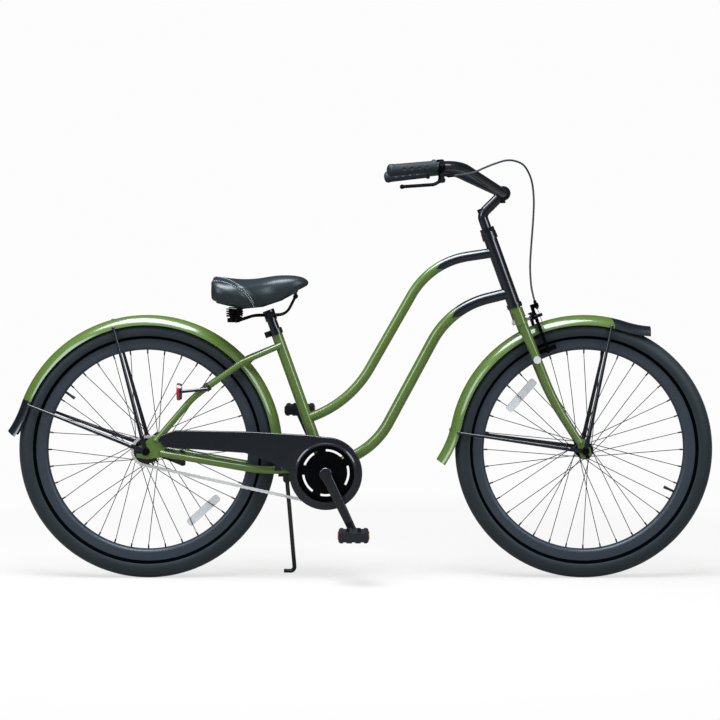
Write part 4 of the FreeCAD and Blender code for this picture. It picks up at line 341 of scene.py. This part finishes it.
def black_enamel(name="black_enamel"):
    """Black stove enamel."""
    return enamel(name, colours().black, linear("#060b12"))


def past_point(tip, along, across):
    """Mask that is 1 ahead of a spear point, which widens on both sides of its tip."""
    def build(tree):
        place = add(tree, "ShaderNodeTexCoord").outputs["Object"]
        offset = add(tree, "ShaderNodeVectorMath", {0: place, 1: tip}, operation="SUBTRACT").outputs[0]
        reach = add(tree, "ShaderNodeVectorMath", {0: offset, 1: along}, operation="DOT_PRODUCT")
        height = add(tree, "ShaderNodeVectorMath", {0: offset, 1: across}, operation="DOT_PRODUCT")
        spread = add(tree, "ShaderNodeMath", {0: height.outputs["Value"]}, operation="ABSOLUTE").outputs[0]
        edge = add(tree, "ShaderNodeMath", {0: spread, 1: SPEAR_SLOPE}, operation="MULTIPLY").outputs[0]
        return add(tree, "ShaderNodeMath", {0: reach.outputs["Value"], 1: edge},
                   operation="GREATER_THAN").outputs[0]
    return build


def past_angle(axle, at_crown, per_side, below):
    """Mask for a fender's black end: past an angle that changes from the crown to the edge."""
    def build(tree):
        _, angle, side = from_axle(tree, axle)
        lean = add(tree, "ShaderNodeMath", {0: side, 1: per_side, 2: angle},
                   operation="MULTIPLY_ADD").outputs[0]
        kind = "LESS_THAN" if below else "GREATER_THAN"
        past = add(tree, "ShaderNodeMath", {0: lean, 1: at_crown}, operation=kind).outputs[0]
        ahead = add(tree, "ShaderNodeMath", {0: angle, 1: LOWEST_ANGLE}, operation="GREATER_THAN").outputs[0]
        return add(tree, "ShaderNodeMath", {0: past, 1: ahead}, operation="MULTIPLY").outputs[0]
    return build


def tyre_rubber(name, axle):
    """Moulded tyre rubber: soft dark sheen, fine rings on the side wall and a block tread on the crown."""
    made, tree, shader = surface(name, Roughness=0.52, IOR=1.52, Sheen_Weight=TYRE_SHEEN, Sheen_Roughness=0.4)
    radius, angle, side = from_axle(tree, axle)
    along = add(tree, "ShaderNodeMath", {0: angle, 1: TREAD_ROWS / 360.0}, operation="MULTIPLY").outputs[0]
    across = add(tree, "ShaderNodeMath", {0: side, 1: 1.0 / TREAD_BLOCK}, operation="MULTIPLY").outputs[0]
    lean = add(tree, "ShaderNodeMath", {0: along, 1: across}).outputs[0]
    cell = add(tree, "ShaderNodeMath", {0: lean}, operation="FRACT").outputs[0]
    groove = add(tree, "ShaderNodeMath", {0: cell, 1: TREAD_GROOVE}, operation="GREATER_THAN").outputs[0]
    crown = add(tree, "ShaderNodeMath", {0: side, 1: TREAD_CROWN}, operation="LESS_THAN").outputs[0]
    tread = add(tree, "ShaderNodeMath", {0: groove, 1: crown}, operation="MULTIPLY").outputs[0]
    turn = add(tree, "ShaderNodeMath", {0: radius, 1: 2.0 * math.pi / WALL_RING},
               operation="MULTIPLY").outputs[0]
    rings = add(tree, "ShaderNodeMath", {0: turn}, operation="SINE").outputs[0]
    wall = add(tree, "ShaderNodeMath", {0: rings, 1: WALL_SHARE}, operation="MULTIPLY").outputs[0]
    height = add(tree, "ShaderNodeMath", {0: tread, 1: wall}).outputs[0]
    bump = add(tree, "ShaderNodeBump", {"Height": height, "Distance": 1.2 * MM, "Strength": 0.7})
    tree.links.new(bump.outputs[0], shader.inputs["Normal"])
    place = add(tree, "ShaderNodeTexCoord").outputs["Object"]
    dust = add(tree, "ShaderNodeTexNoise",
               {"Vector": place, "Scale": 1.0 / (45 * MM), "Detail": 4.0}).outputs[0]
    skin = add(tree, "ShaderNodeMix", {0: dust, 6: colours().tyre, 7: linear("#16242c")},
               data_type="RGBA").outputs[2]
    # Below this radius the bead is painted near black and its gloss and sheen are turned off: a painted
    # shadow in the groove beside the rim's flange.
    painted_groove_shadow = add(tree, "ShaderNodeMath", {0: radius, 1: GROOVE_SHADOW_RADIUS}, operation="LESS_THAN").outputs[0]
    skin = add(tree, "ShaderNodeMix", {0: painted_groove_shadow, 6: skin, 7: linear("#030507")},
               data_type="RGBA").outputs[2]
    tree.links.new(skin, shader.inputs["Base Color"])
    lit = add(tree, "ShaderNodeMath", {0: 1.0, 1: painted_groove_shadow}, operation="SUBTRACT").outputs[0]
    for socket, share in (("Specular IOR Level", TYRE_GLOSS), ("Sheen Weight", TYRE_SHEEN)):
        level = add(tree, "ShaderNodeMath", {0: lit, 1: share}, operation="MULTIPLY").outputs[0]
        tree.links.new(level, shader.inputs[socket])
    return made


def anodised(name, axle, tint):
    """Anodised aluminium rolled into a rim: a dull dark metal with fine marks round the hoop."""
    made, tree, shader = surface(name, Metallic=0.55, Roughness=0.42)
    radius, angle, _ = from_axle(tree, axle)
    # Rolling marks are drawn coarser than real ones, so that they show
    line = add(tree, "ShaderNodeCombineXYZ", {0: radius, 1: angle}).outputs[0]
    stretch = add(tree, "ShaderNodeVectorMath", {0: line, 1: (1.0 / (0.9 * MM), 0.06, 1.0)},
                  operation="MULTIPLY").outputs[0]
    marks = add(tree, "ShaderNodeTexNoise", {"Vector": stretch, "Scale": 1.0, "Detail": 2.0}).outputs[0]
    bump = add(tree, "ShaderNodeBump", {"Height": marks, "Distance": 0.02 * MM, "Strength": 1.0})
    tree.links.new(bump.outputs[0], shader.inputs["Normal"])
    skin = add(tree, "ShaderNodeMix", {0: marks, 6: tint, 7: linear("#39414a")},
               data_type="RGBA").outputs[2]
    tree.links.new(skin, shader.inputs["Base Color"])
    return made


def plain_metal(name, tint, dark, rough, cell=6 * MM, mask=None, metal=1.0):
    """Plated or drawn steel: bright metal with a slight cloud of handling and oil, blacked where masked."""
    made, tree, shader = surface(name, Metallic=metal, Roughness=rough)
    cloud = ripple(tree, shader, cell, 0.02 * MM, 3.0)
    skin = add(tree, "ShaderNodeMix", {0: cloud, 6: tint, 7: dark}, data_type="RGBA").outputs[2]
    if mask:
        skin = add(tree, "ShaderNodeMix", {0: mask(tree), 6: skin, 7: colours().black},
                   data_type="RGBA").outputs[2]
    tree.links.new(skin, shader.inputs["Base Color"])
    return made


def moulded(name, tint, rough, grain, depth):
    """Moulded plastic or rubber with a fine spark-eroded grain."""
    made, tree, shader = surface(name, Roughness=rough, IOR=1.5)
    cloud = ripple(tree, shader, grain, depth, 3.0)
    lighter = [value * 1.35 + 0.002 for value in tint[:3]] + [1.0]
    skin = add(tree, "ShaderNodeMix", {0: cloud, 6: tint, 7: lighter}, data_type="RGBA").outputs[2]
    tree.links.new(skin, shader.inputs["Base Color"])
    return made


def grained_vinyl(name):
    """Embossed saddle vinyl over foam: dark, half matt, with a small pebble grain."""
    made, tree, shader = surface(name, Roughness=0.40, IOR=1.5, Coat_Weight=0.25, Coat_Roughness=0.25)
    place = add(tree, "ShaderNodeTexCoord").outputs["Object"]
    # The pebbles are drawn about twice their usual size, so that they show
    pebble = add(tree, "ShaderNodeTexVoronoi", {"Vector": place, "Scale": 1.0 / (2.1 * MM)},
                 feature="DISTANCE_TO_EDGE").outputs["Distance"]
    crease = add(tree, "ShaderNodeTexNoise",
                 {"Vector": place, "Scale": 1.0 / (30 * MM), "Detail": 4.0}).outputs[0]
    height = add(tree, "ShaderNodeMath", {0: pebble, 1: crease}).outputs[0]
    bump = add(tree, "ShaderNodeBump", {"Height": height, "Distance": 0.25 * MM, "Strength": 0.6})
    tree.links.new(bump.outputs[0], shader.inputs["Normal"])
    skin = add(tree, "ShaderNodeMix", {0: crease, 6: colours().vinyl, 7: linear("#1d272d")},
               data_type="RGBA").outputs[2]
    tree.links.new(skin, shader.inputs["Base Color"])
    return made


def prism_lens(name, tint, shade_tint, through=0.0):
    """Moulded reflector: hard clear plastic over rows of small prisms."""
    made, tree, shader = surface(name, Roughness=0.16, IOR=1.49, Coat_Weight=1.0, Coat_Roughness=0.03,
                                Transmission_Weight=through)
    place = add(tree, "ShaderNodeTexCoord").outputs["Object"]
    # The prisms are drawn larger than real ones, so that they show
    cells = add(tree, "ShaderNodeTexVoronoi",
                {"Vector": place, "Scale": 1.0 / (3.4 * MM), "Randomness": 0.0},
                distance="CHEBYCHEV").outputs["Distance"]
    bump = add(tree, "ShaderNodeBump", {"Height": cells, "Distance": 0.6 * MM, "Strength": 0.8})
    tree.links.new(bump.outputs[0], shader.inputs["Normal"])
    # Each prism is darker towards its edge: painted shade of its facets, in the shade tint.
    edge = add(tree, "ShaderNodeMath", {0: cells, 1: 1.6}, operation="MULTIPLY").outputs[0]
    skin = add(tree, "ShaderNodeMix", {0: edge, 6: tint, 7: shade_tint}, data_type="RGBA").outputs[2]
    tree.links.new(skin, shader.inputs["Base Color"])
    return made


# Pieces
def tube_middle(node, at_x):
    """Height of a tube's middle at a place along the bicycle."""
    heights = [vertex.co.z for vertex in NODES[node].data.vertices if abs(vertex.co.x - at_x) < TUBE_SLICE]
    return (min(heights) + max(heights)) / 2.0


class CRUISER_OT_paint(bpy.types.Operator):
    """Paint the frame, fork, fenders, handlebar and the black fittings."""

    bl_idname = "cruiser.paint"
    bl_label = "Paint frame and fittings"

    def execute(self, context):
        green = green_enamel()
        black = black_enamel()
        for node in ("seat_tube", "seat_stays", "chain_stays", "fork"):
            wear(node, green)
        for node in ("head_tube", "headset_cups", "headset_locknut", "stem", "handlebar", "seat_post",
                     "seat_clamp", "rear_fender_stays", "front_fender_stays", "coaster_arm",
                     "rear_reflector_bracket", "kickstand_bracket", "kickstand_leg", "chain_guard",
                     "right_crank", "left_crank", "saddle_clamp"):
            wear(node, black)
        for node, at_x, name in TWO_TONE:
            tip = Vector((at_x, 0.0, tube_middle(node, at_x)))
            ahead = at_x + 30 * MM
            along = (Vector((ahead, 0.0, tube_middle(node, ahead))) - tip).normalized()
            across = Vector((-along.z, 0.0, along.x))
            wear(node, green_enamel(name, past_point(tip, along, across)))
        wear("rear_fender", green_enamel("rear_fender_enamel", past_angle(REAR_AXLE, *REAR_TIP, False)))
        wear("front_fender", green_enamel("front_fender_enamel", past_angle(FRONT_AXLE, *FRONT_TIP, True)))
        return {"FINISHED"}


class CRUISER_OT_wheels(bpy.types.Operator):
    """Finish the tyres, inner tubes, rims, wheel reflectors, spokes, hubs and axles."""

    bl_idname = "cruiser.wheels"
    bl_label = "Finish wheels"

    def execute(self, context):
        tint = colours()
        for end, axle, _ in ENDS:
            wear(end + "_tyre", tyre_rubber(end + "_tyre_rubber", axle))
            wear(end + "_inner_tube", moulded(end + "_butyl_rubber", tint.rubber, 0.5, 3 * MM, 0.05 * MM))
            wear(end + "_rim", anodised(end + "_anodised_rim", axle, tint.rim))
            lens = prism_lens(end + "_clear_lens", tint.clear, linear("#c4c8cc"), 0.25)
            wear(end + "_wheel_reflector", lens)
        wire = plain_metal("blackened_spoke_wire", linear("#55565a"), linear("#2a2b2e"), 0.34)
        wear("rear_spokes", wire)
        wear("front_spokes", wire)
        dark = plain_metal("black_anodised_hub", linear("#2b2c2f"), linear("#1b1c1e"), 0.38)
        for node in ("rear_axle", "rear_hub", "front_axle", "front_hub"):
            wear(node, dark)
        return {"FINISHED"}


class CRUISER_OT_drive(bpy.types.Operator):
    """Finish the chain and its wheels, pedals, bolts, brake, grips, saddle rails and rear reflector."""

    bl_idname = "cruiser.drive"
    bl_label = "Finish drive, brake and small fittings"

    def execute(self, context):
        tint = colours()
        steel = plain_metal("oiled_chain_steel", tint.steel, tint.grime, 0.45, 5 * MM, metal=0.3)
        blacked = black_enamel("blacked_steel")
        dark = plain_metal("black_anodised_alloy", linear("#26272a"), linear("#161719"), 0.34)
        wear("chain", steel)
        nickel = plain_metal("nickel_plated_steel", linear("#c3c5c6"), linear("#96989a"), 0.26)
        wear("bottom_bracket_cups", nickel)
        for node in ("crank_axle", "frame_fasteners", "rear_sprocket"):
            wear(node, blacked)
        above = past_point(Vector((0.0, 0.0, BRIGHT_BOLTS_TOP)), Vector((0.0, 0.0, 1.0)), Vector())
        bolts = plain_metal("headset_bolts", linear("#e2e4e5"), linear("#c3c5c6"), 0.3, mask=above,
                            metal=0.3)
        wear("steering_fasteners", bolts)
        for node in ("chainring", "brake_lever", "brake_lever_bracket", "caliper_arm_left",
                     "caliper_arm_right"):
            wear(node, dark)
        plastic = moulded("moulded_nylon", tint.plastic, 0.48, 1.6 * MM, 0.06 * MM)
        for node in ("right_pedal", "left_pedal", "saddle_pan"):
            wear(node, plastic)
        wear("brake_cable", moulded("cable_jacket_pvc", linear("#33363a"), 0.36, 4 * MM, 0.02 * MM))
        wear("saddle_rails", spring_wire())
        wear("grips", moulded("grip_rubber", tint.rubber, 0.62, 1.1 * MM, 0.1 * MM))
        wear("rear_reflector", prism_lens("red_lens", tint.red, linear("#6e0a18")))
        return {"FINISHED"}


def pedal_lens(place):
    """One bevelled reflector lens as a bmesh, standing out along its own Z axis."""
    mesh = bmesh.new()
    bmesh.ops.create_cube(mesh, size=1.0)
    bmesh.ops.scale(mesh, vec=(LENS_LENGTH, LENS_HEIGHT, sizes().lens_depth), verts=mesh.verts)
    bmesh.ops.bevel(mesh, geom=mesh.edges[:], offset=LENS_EDGE, offset_type="OFFSET", segments=3,
                    profile=0.5, affect="EDGES", material=-1)
    bmesh.ops.transform(mesh, matrix=place, verts=mesh.verts)
    return mesh


class CRUISER_OT_pedal_reflectors(bpy.types.Operator):
    """Set an amber reflector in the front and the back of each pedal."""

    bl_idname = "cruiser.pedal_reflectors"
    bl_label = "Add pedal reflectors"

    def execute(self, context):
        amber = prism_lens("amber_lens", colours().amber, linear("#9a4a0c"))
        for side in ("right", "left"):
            low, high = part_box(side + "_pedal")
            middle = (low + high) / 2.0
            whole = bmesh.new()
            for face_x, outward in ((low.x, -1.0), (high.x, 1.0)):
                turn = Matrix(((0, 0, outward), (-outward, 0, 0), (0, 1, 0))).to_4x4()
                lens = pedal_lens(Matrix.Translation((face_x, middle.y, middle.z)) @ turn)
                join(whole, lens, Matrix.Identity(4))
                lens.free()
            shade(settle(side + "_pedal_reflectors", whole, side + "_pedal", amber))
        return {"FINISHED"}


def screw_head(radius, height):
    """A domed screw head with a crossed recess, standing on the origin along Z."""
    mesh = bmesh.new()
    bmesh.ops.create_uvsphere(mesh, u_segments=16, v_segments=10, radius=radius)
    cut = mesh.verts[:] + mesh.edges[:] + mesh.faces[:]
    bmesh.ops.bisect_plane(mesh, geom=cut, plane_co=(0, 0, 0), plane_no=(0, 0, -1), clear_outer=True)
    bmesh.ops.holes_fill(mesh, edges=[edge for edge in mesh.edges if edge.is_boundary])
    bmesh.ops.scale(mesh, vec=(1.0, 1.0, height / radius), verts=mesh.verts)
    top = [vertex for vertex in mesh.verts if vertex.co.z > height * 0.9]
    bmesh.ops.translate(mesh, vec=(0, 0, -height * 0.35), verts=top)
    return mesh


def wheel_point(axle, radius, degrees, y):
    """A point on a wheel from its radius and its angle from straight ahead."""
    turn = math.radians(degrees)
    return axle + Vector((radius * math.cos(turn), y, radius * math.sin(turn)))


def plant_screws(name, body, material, height, places):
    """Set screw heads as one piece at places that each have a point and an outward direction."""
    heads = bmesh.new()
    for spot, outward in places:
        head = screw_head(sizes().screw, height)
        join(heads, head, facing(spot, outward))
        head.free()
    shade(settle(name, heads, body, material))


def ray_tree(data):
    """Ray casting tree of a mesh."""
    mesh = bmesh.new()
    mesh.from_mesh(data)
    tree = BVHTree.FromBMesh(mesh)
    mesh.free()
    return tree


def surface_point(node, axle, degrees):
    """Where a ray from outside towards the axle meets a node in the middle plane."""
    start = wheel_point(axle, OUTSIDE_WHEEL, degrees, 0.0)
    return ray_tree(NODES[node].data).ray_cast(start, (axle - start).normalized())[0]


def stay_tip(end, axle, degrees, side):
    """Where a ray from the side meets the outer end of a fender stay."""
    start = wheel_point(axle, STAY_END_RADIUS, degrees, side * BESIDE_STAYS)
    return ray_tree(NODES[end + "_fender_stays"].data).ray_cast(start, Vector((0, -side, 0)))[0]


class CRUISER_OT_screws(bpy.types.Operator):
    """Add the small screws on the fenders' crowns and at the stays' ends."""

    bl_idname = "cruiser.screws"
    bl_label = "Add small screws"

    def execute(self, context):
        dark = black_enamel("black_screw_enamel")
        for end, axle, body in ENDS:
            spots = [surface_point(end + "_fender", axle, degrees) for degrees in CROWN_SCREWS[end]]
            places = [(spot, spot - axle) for spot in spots]
            plant_screws(end + "_fender_crown_screws", body, dark, CROWN_HEAD, places)
        for end, axle, body in ENDS:
            places = [(stay_tip(end, axle, degrees, side), (0, side, 0))
                      for degrees in STAY_SCREWS[end] for side in (-1.0, 1.0)]
            plant_screws(end + "_stay_screws", body, dark, STAY_HEAD, places)
        return {"FINISHED"}


# Saddle
def even_points(points, step):
    """Points at equal distances along a line of points."""
    out = [points[0]]
    left = step
    for first, second in zip(points, points[1:]):
        run = second - first
        done = 0.0
        while run.length - done >= left:
            done += left
            out.append(first + run.normalized() * done)
            left = step
        left -= run.length - done
    return out


def seam_line(tree, lift):
    """The seam on the saddle's surface from the right underside, round the back, to the left underside."""
    right = []
    for x, z in reversed(SEAM):
        spot = tree.ray_cast(Vector((x, -BESIDE_SADDLE, z + lift)), Vector((0, 1, 0)))[0]
        if spot:
            right.append(spot)
    corner = right[-1]
    back = []
    for step in range(1, SEAM_BACK_STEPS):
        y = corner.y + (-2.0 * corner.y) * step / SEAM_BACK_STEPS
        spot = tree.ray_cast(Vector((-BEHIND_SADDLE, y, SEAM_BACK_Z + lift)), Vector((1, 0, 0)))[0]
        if spot and spot.x < corner.x + 4 * MM:
            back.append(spot)
    left = [Vector((spot.x, -spot.y, spot.z)) for spot in reversed(right)]
    return right + back + left


def stitch_shape(size):
    """One stitch along X: a short rounded length of thread that dips at both ends."""
    mesh = bmesh.new()
    bmesh.ops.create_cone(mesh, cap_ends=True, segments=6, radius1=size.thread, radius2=size.thread,
                          depth=size.stitch * 0.72)
    lengthwise = [edge for edge in mesh.edges if abs(edge.verts[0].co.z - edge.verts[1].co.z) > 0.01 * MM]
    bmesh.ops.subdivide_edges(mesh, edges=lengthwise, cuts=2)
    bmesh.ops.rotate(mesh, matrix=Matrix.Rotation(math.radians(90), 3, "Y"), verts=mesh.verts)
    ends = [vertex for vertex in mesh.verts if abs(vertex.co.x) > size.stitch * 0.3]
    bmesh.ops.scale(mesh, vec=(1.0, 0.6, 0.6), verts=ends)
    bmesh.ops.translate(mesh, vec=(0, 0, -size.thread * 0.9), verts=ends)
    return mesh


def spring_wire():
    """Oil-blacked spring steel: a dark metal with a soft gleam."""
    return plain_metal("black_spring_wire", linear("#2a2a2c"), linear("#161617"), 0.32)


class CRUISER_OT_springs(bpy.types.Operator):
    """Make the saddle's two coil springs as one smooth piece that rides on the seat post, in place of the CAD
    springs.
    """

    bl_idname = "cruiser.springs"
    bl_label = "Make saddle springs"

    def execute(self, context):
        coils = bmesh.new()
        coils.from_mesh(NODES["saddle_springs"].data)
        bmesh.ops.remove_doubles(coils, verts=coils.verts, dist=0.01 * MM)
        piece = settle("coil_springs", coils, "seat_post", spring_wire())
        shade(piece)
        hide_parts("saddle_springs")
        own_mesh(piece)
        return {"FINISHED"}


def press_seam(saddle):
    """Draw the cover in along the seam and let the panels swell beside it."""
    path = even_points(seam_line(ray_tree(saddle.data), 0.0), 2.0 * MM)
    mesh = bmesh.new()
    mesh.from_mesh(saddle.data)
    mesh.normal_update()
    moves = []
    for vertex in mesh.verts:
        near = min((vertex.co - spot).length_squared for spot in path) ** 0.5
        if near < SEAM_REACH:
            groove = -SEAM_DEPTH * math.exp(-(near / SEAM_WIDTH) ** 2)
            swell = SWELL_HEIGHT * math.exp(-((near - SWELL_PLACE) / SWELL_WIDTH) ** 2)
            moves.append((vertex, vertex.normal * (groove + swell)))
    for vertex, move in moves:
        vertex.co += move
    mesh.to_mesh(saddle.data)
    mesh.free()


def sew(saddle, size):
    """Two rows of thread stitches beside the seam."""
    tree = ray_tree(saddle.data)
    shape = stitch_shape(size)
    rows = bmesh.new()
    for lift in (-size.stitch_rows / 2.0, size.stitch_rows / 2.0):
        spots = even_points(seam_line(tree, lift), size.stitch)
        for before, after in zip(spots, spots[1:]):
            middle = (before + after) / 2.0
            near, normal, _, _ = tree.find_nearest(middle)
            along = (after - before).normalized()
            side = normal.cross(along).normalized()
            out = along.cross(side)
            turn = Matrix((along, side, out)).transposed().to_4x4()
            join(rows, shape, Matrix.Translation(near + normal * size.thread * 0.7) @ turn)
    shape.free()
    thread = moulded("nylon_thread", colours().thread, 0.6, 0.8 * MM, 0.05 * MM)
    shade(settle("saddle_stitching", rows, "saddle", thread))


class CRUISER_OT_saddle(bpy.types.Operator):
    """Make the padded saddle from the CAD cushion, with a seam and two rows of stitches."""

    bl_idname = "cruiser.saddle"
    bl_label = "Make padded saddle"

    def execute(self, context):
        size = sizes()
        mesh = bmesh.new()
        mesh.from_mesh(NODES["saddle_cover"].data)
        bmesh.ops.remove_doubles(mesh, verts=mesh.verts, dist=0.05 * MM)
        data = bpy.data.meshes.new("padded_saddle")
        mesh.to_mesh(data)
        mesh.free()
        saddle = bpy.data.objects.new("padded_saddle", data)
        context.scene.collection.objects.link(saddle)
        remesh = saddle.modifiers.new("even_faces", "REMESH")
        remesh.mode = "VOXEL"
        remesh.voxel_size = size.saddle_voxel
        smooth = saddle.modifiers.new("soft_foam", "SMOOTH")
        smooth.factor = 0.5
        smooth.iterations = 14
        graph = context.evaluated_depsgraph_get()
        settled = bpy.data.meshes.new_from_object(saddle.evaluated_get(graph))
        saddle.modifiers.clear()
        saddle.data = settled
        bpy.data.meshes.remove(data)
        press_seam(saddle)
        settled.materials.clear()
        settled.materials.append(grained_vinyl("grained_vinyl"))
        settled.shade_smooth()
        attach(saddle, "saddle")
        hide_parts("saddle_cover")
        sew(saddle, size)
        return {"FINISHED"}


# Studio
def soft_lamp(name, power, size, place):
    """A rectangular lamp that faces the bicycle's middle."""
    data = bpy.data.lights.new(name, "AREA")
    data.shape = "RECTANGLE"
    data.size, data.size_y = size
    data.energy = power
    data.color = LAMP_TINT
    lamp = bpy.data.objects.new(name, data)
    lamp.location = place
    lamp.rotation_euler = (Vector(LAMP_AIM) - Vector(place)).to_track_quat("-Z", "Y").to_euler()
    bpy.context.scene.collection.objects.link(lamp)


def paper(stage):
    """Matt studio paper: near white to the camera with a soft shadow, and dim in reflections."""
    made, tree, shader = surface("studio_paper", Base_Color=stage.floor, Roughness=0.9)
    rays = add(tree, "ShaderNodeLightPath").outputs
    place = add(tree, "ShaderNodeTexCoord").outputs["Object"]
    away = add(tree, "ShaderNodeVectorMath", {0: place}, operation="LENGTH").outputs["Value"]
    even = add(tree, "ShaderNodeMapRange", {"Value": away, "From Min": PAPER_NEAR, "From Max": PAPER_FAR,
                                            "To Min": PAPER_SHADOW, "To Max": 1.0}).outputs[0]
    share = add(tree, "ShaderNodeMath", {0: rays["Is Camera Ray"], 1: even},
                operation="MULTIPLY").outputs[0]
    dim = add(tree, "ShaderNodeMath", {0: rays["Is Glossy Ray"], 1: PAPER_DIM},
              operation="MULTIPLY").outputs[0]
    glow = add(tree, "ShaderNodeEmission",
               {"Color": (1.0, 1.0, 1.0, 1.0), "Strength": PAPER_GLOW}).outputs[0]
    room = add(tree, "ShaderNodeEmission", {"Strength": 0.0}).outputs[0]
    plain = add(tree, "ShaderNodeMixShader", {0: dim, 1: shader.outputs[0], 2: room}).outputs[0]
    mixed = add(tree, "ShaderNodeMixShader", {0: share, 1: plain, 2: glow}).outputs[0]
    tree.links.new(mixed, tree.nodes["Material Output"].inputs["Surface"])
    return made


class CRUISER_OT_stage(bpy.types.Operator):
    """Set the floor, backdrop, lamps, world and camera."""

    bl_idname = "cruiser.stage"
    bl_label = "Set the studio"

    def execute(self, context):
        scene = context.scene
        stage = scene.cruiser_stage
        mesh = bmesh.new()
        bmesh.ops.create_grid(mesh, x_segments=1, y_segments=1, size=FLOOR_REACH)
        back = [edge for edge in mesh.edges if all(vertex.co.y > FLOOR_REACH - 0.1 for vertex in edge.verts)]
        wall = bmesh.ops.extrude_edge_only(mesh, edges=back)["geom"]
        top = [part for part in wall if isinstance(part, bmesh.types.BMVert)]
        bmesh.ops.translate(mesh, vec=(0, 0, WALL_HEIGHT), verts=top)
        bmesh.ops.bevel(mesh, geom=back, offset=WALL_BEND, offset_type="OFFSET", segments=16, profile=0.5,
                        affect="EDGES", material=-1)
        data = bpy.data.meshes.new("studio_floor")
        mesh.to_mesh(data)
        mesh.free()
        data.shade_smooth()
        floor = bpy.data.objects.new("studio_floor", data)
        data.materials.append(paper(stage))
        scene.collection.objects.link(floor)
        soft_lamp("key_lamp", stage.key, *KEY_LAMP)
        size, (x, y, z) = SIDE_LAMP
        for side in (-1.0, 1.0):
            soft_lamp("side_lamp", stage.fill, size, (x * side, y, z))
        world = bpy.data.worlds.new("studio_world")
        world.use_nodes = True
        scene.world = world
        tree = world.node_tree
        backdrop = tree.nodes["Background"]
        rays = add(tree, "ShaderNodeLightPath").outputs
        level = add(tree, "ShaderNodeMapRange", {"Value": rays["Is Glossy Ray"], "To Min": WORLD_LIGHT,
                                                 "To Max": WORLD_GLOSS}).outputs[0]
        light = add(tree, "ShaderNodeMath", {0: level, 1: rays["Is Camera Ray"]}, operation="MAXIMUM")
        tree.links.new(light.outputs[0], backdrop.inputs["Strength"])
        backdrop.inputs["Color"].default_value = (1.0, 1.0, 1.0, 1.0)
        scene.view_settings.view_transform = "Standard"
        data = bpy.data.cameras.new("photo_camera")
        data.sensor_width = 36.0
        data.lens = stage.focal
        camera = bpy.data.objects.new("photo_camera", data)
        camera.location = (stage.across, -stage.distance, stage.height)
        camera.rotation_euler = (math.radians(90.0) - stage.tilt, 0.0, 0.0)
        scene.collection.objects.link(camera)
        scene.camera = camera
        return {"FINISHED"}


class CRUISER_PT_panel(bpy.types.Panel):
    """Sidebar list of the bicycle's steps."""

    bl_idname = "CRUISER_PT_panel"
    bl_label = "Beach cruiser"
    bl_space_type = "VIEW_3D"
    bl_region_type = "UI"
    bl_category = "Cruiser"

    def draw(self, context):
        for step in STEPS:
            self.layout.operator(step.bl_idname)


STEPS = (CRUISER_OT_paint, CRUISER_OT_wheels, CRUISER_OT_drive, CRUISER_OT_springs, CRUISER_OT_saddle,
         CRUISER_OT_pedal_reflectors, CRUISER_OT_screws, CRUISER_OT_stage)
GROUPS = (CruiserColours, CruiserSizes, CruiserStage)


def register():
    """Register the settings, the steps and the panel."""
    for made in GROUPS + STEPS + (CRUISER_PT_panel,):
        bpy.utils.register_class(made)
    bpy.types.Scene.cruiser_colours = bpy.props.PointerProperty(type=CruiserColours)
    bpy.types.Scene.cruiser_sizes = bpy.props.PointerProperty(type=CruiserSizes)
    bpy.types.Scene.cruiser_stage = bpy.props.PointerProperty(type=CruiserStage)


def unregister():
    """Take away what register added."""
    del bpy.types.Scene.cruiser_stage
    del bpy.types.Scene.cruiser_sizes
    del bpy.types.Scene.cruiser_colours
    for made in reversed(GROUPS + STEPS + (CRUISER_PT_panel,)):
        bpy.utils.unregister_class(made)


def main():
    """Run the steps in order."""
    register()
    for step in STEPS:
        area, action = step.bl_idname.split(".")
        getattr(getattr(bpy.ops, area), action)()


if __name__ == "__main__":
    main()
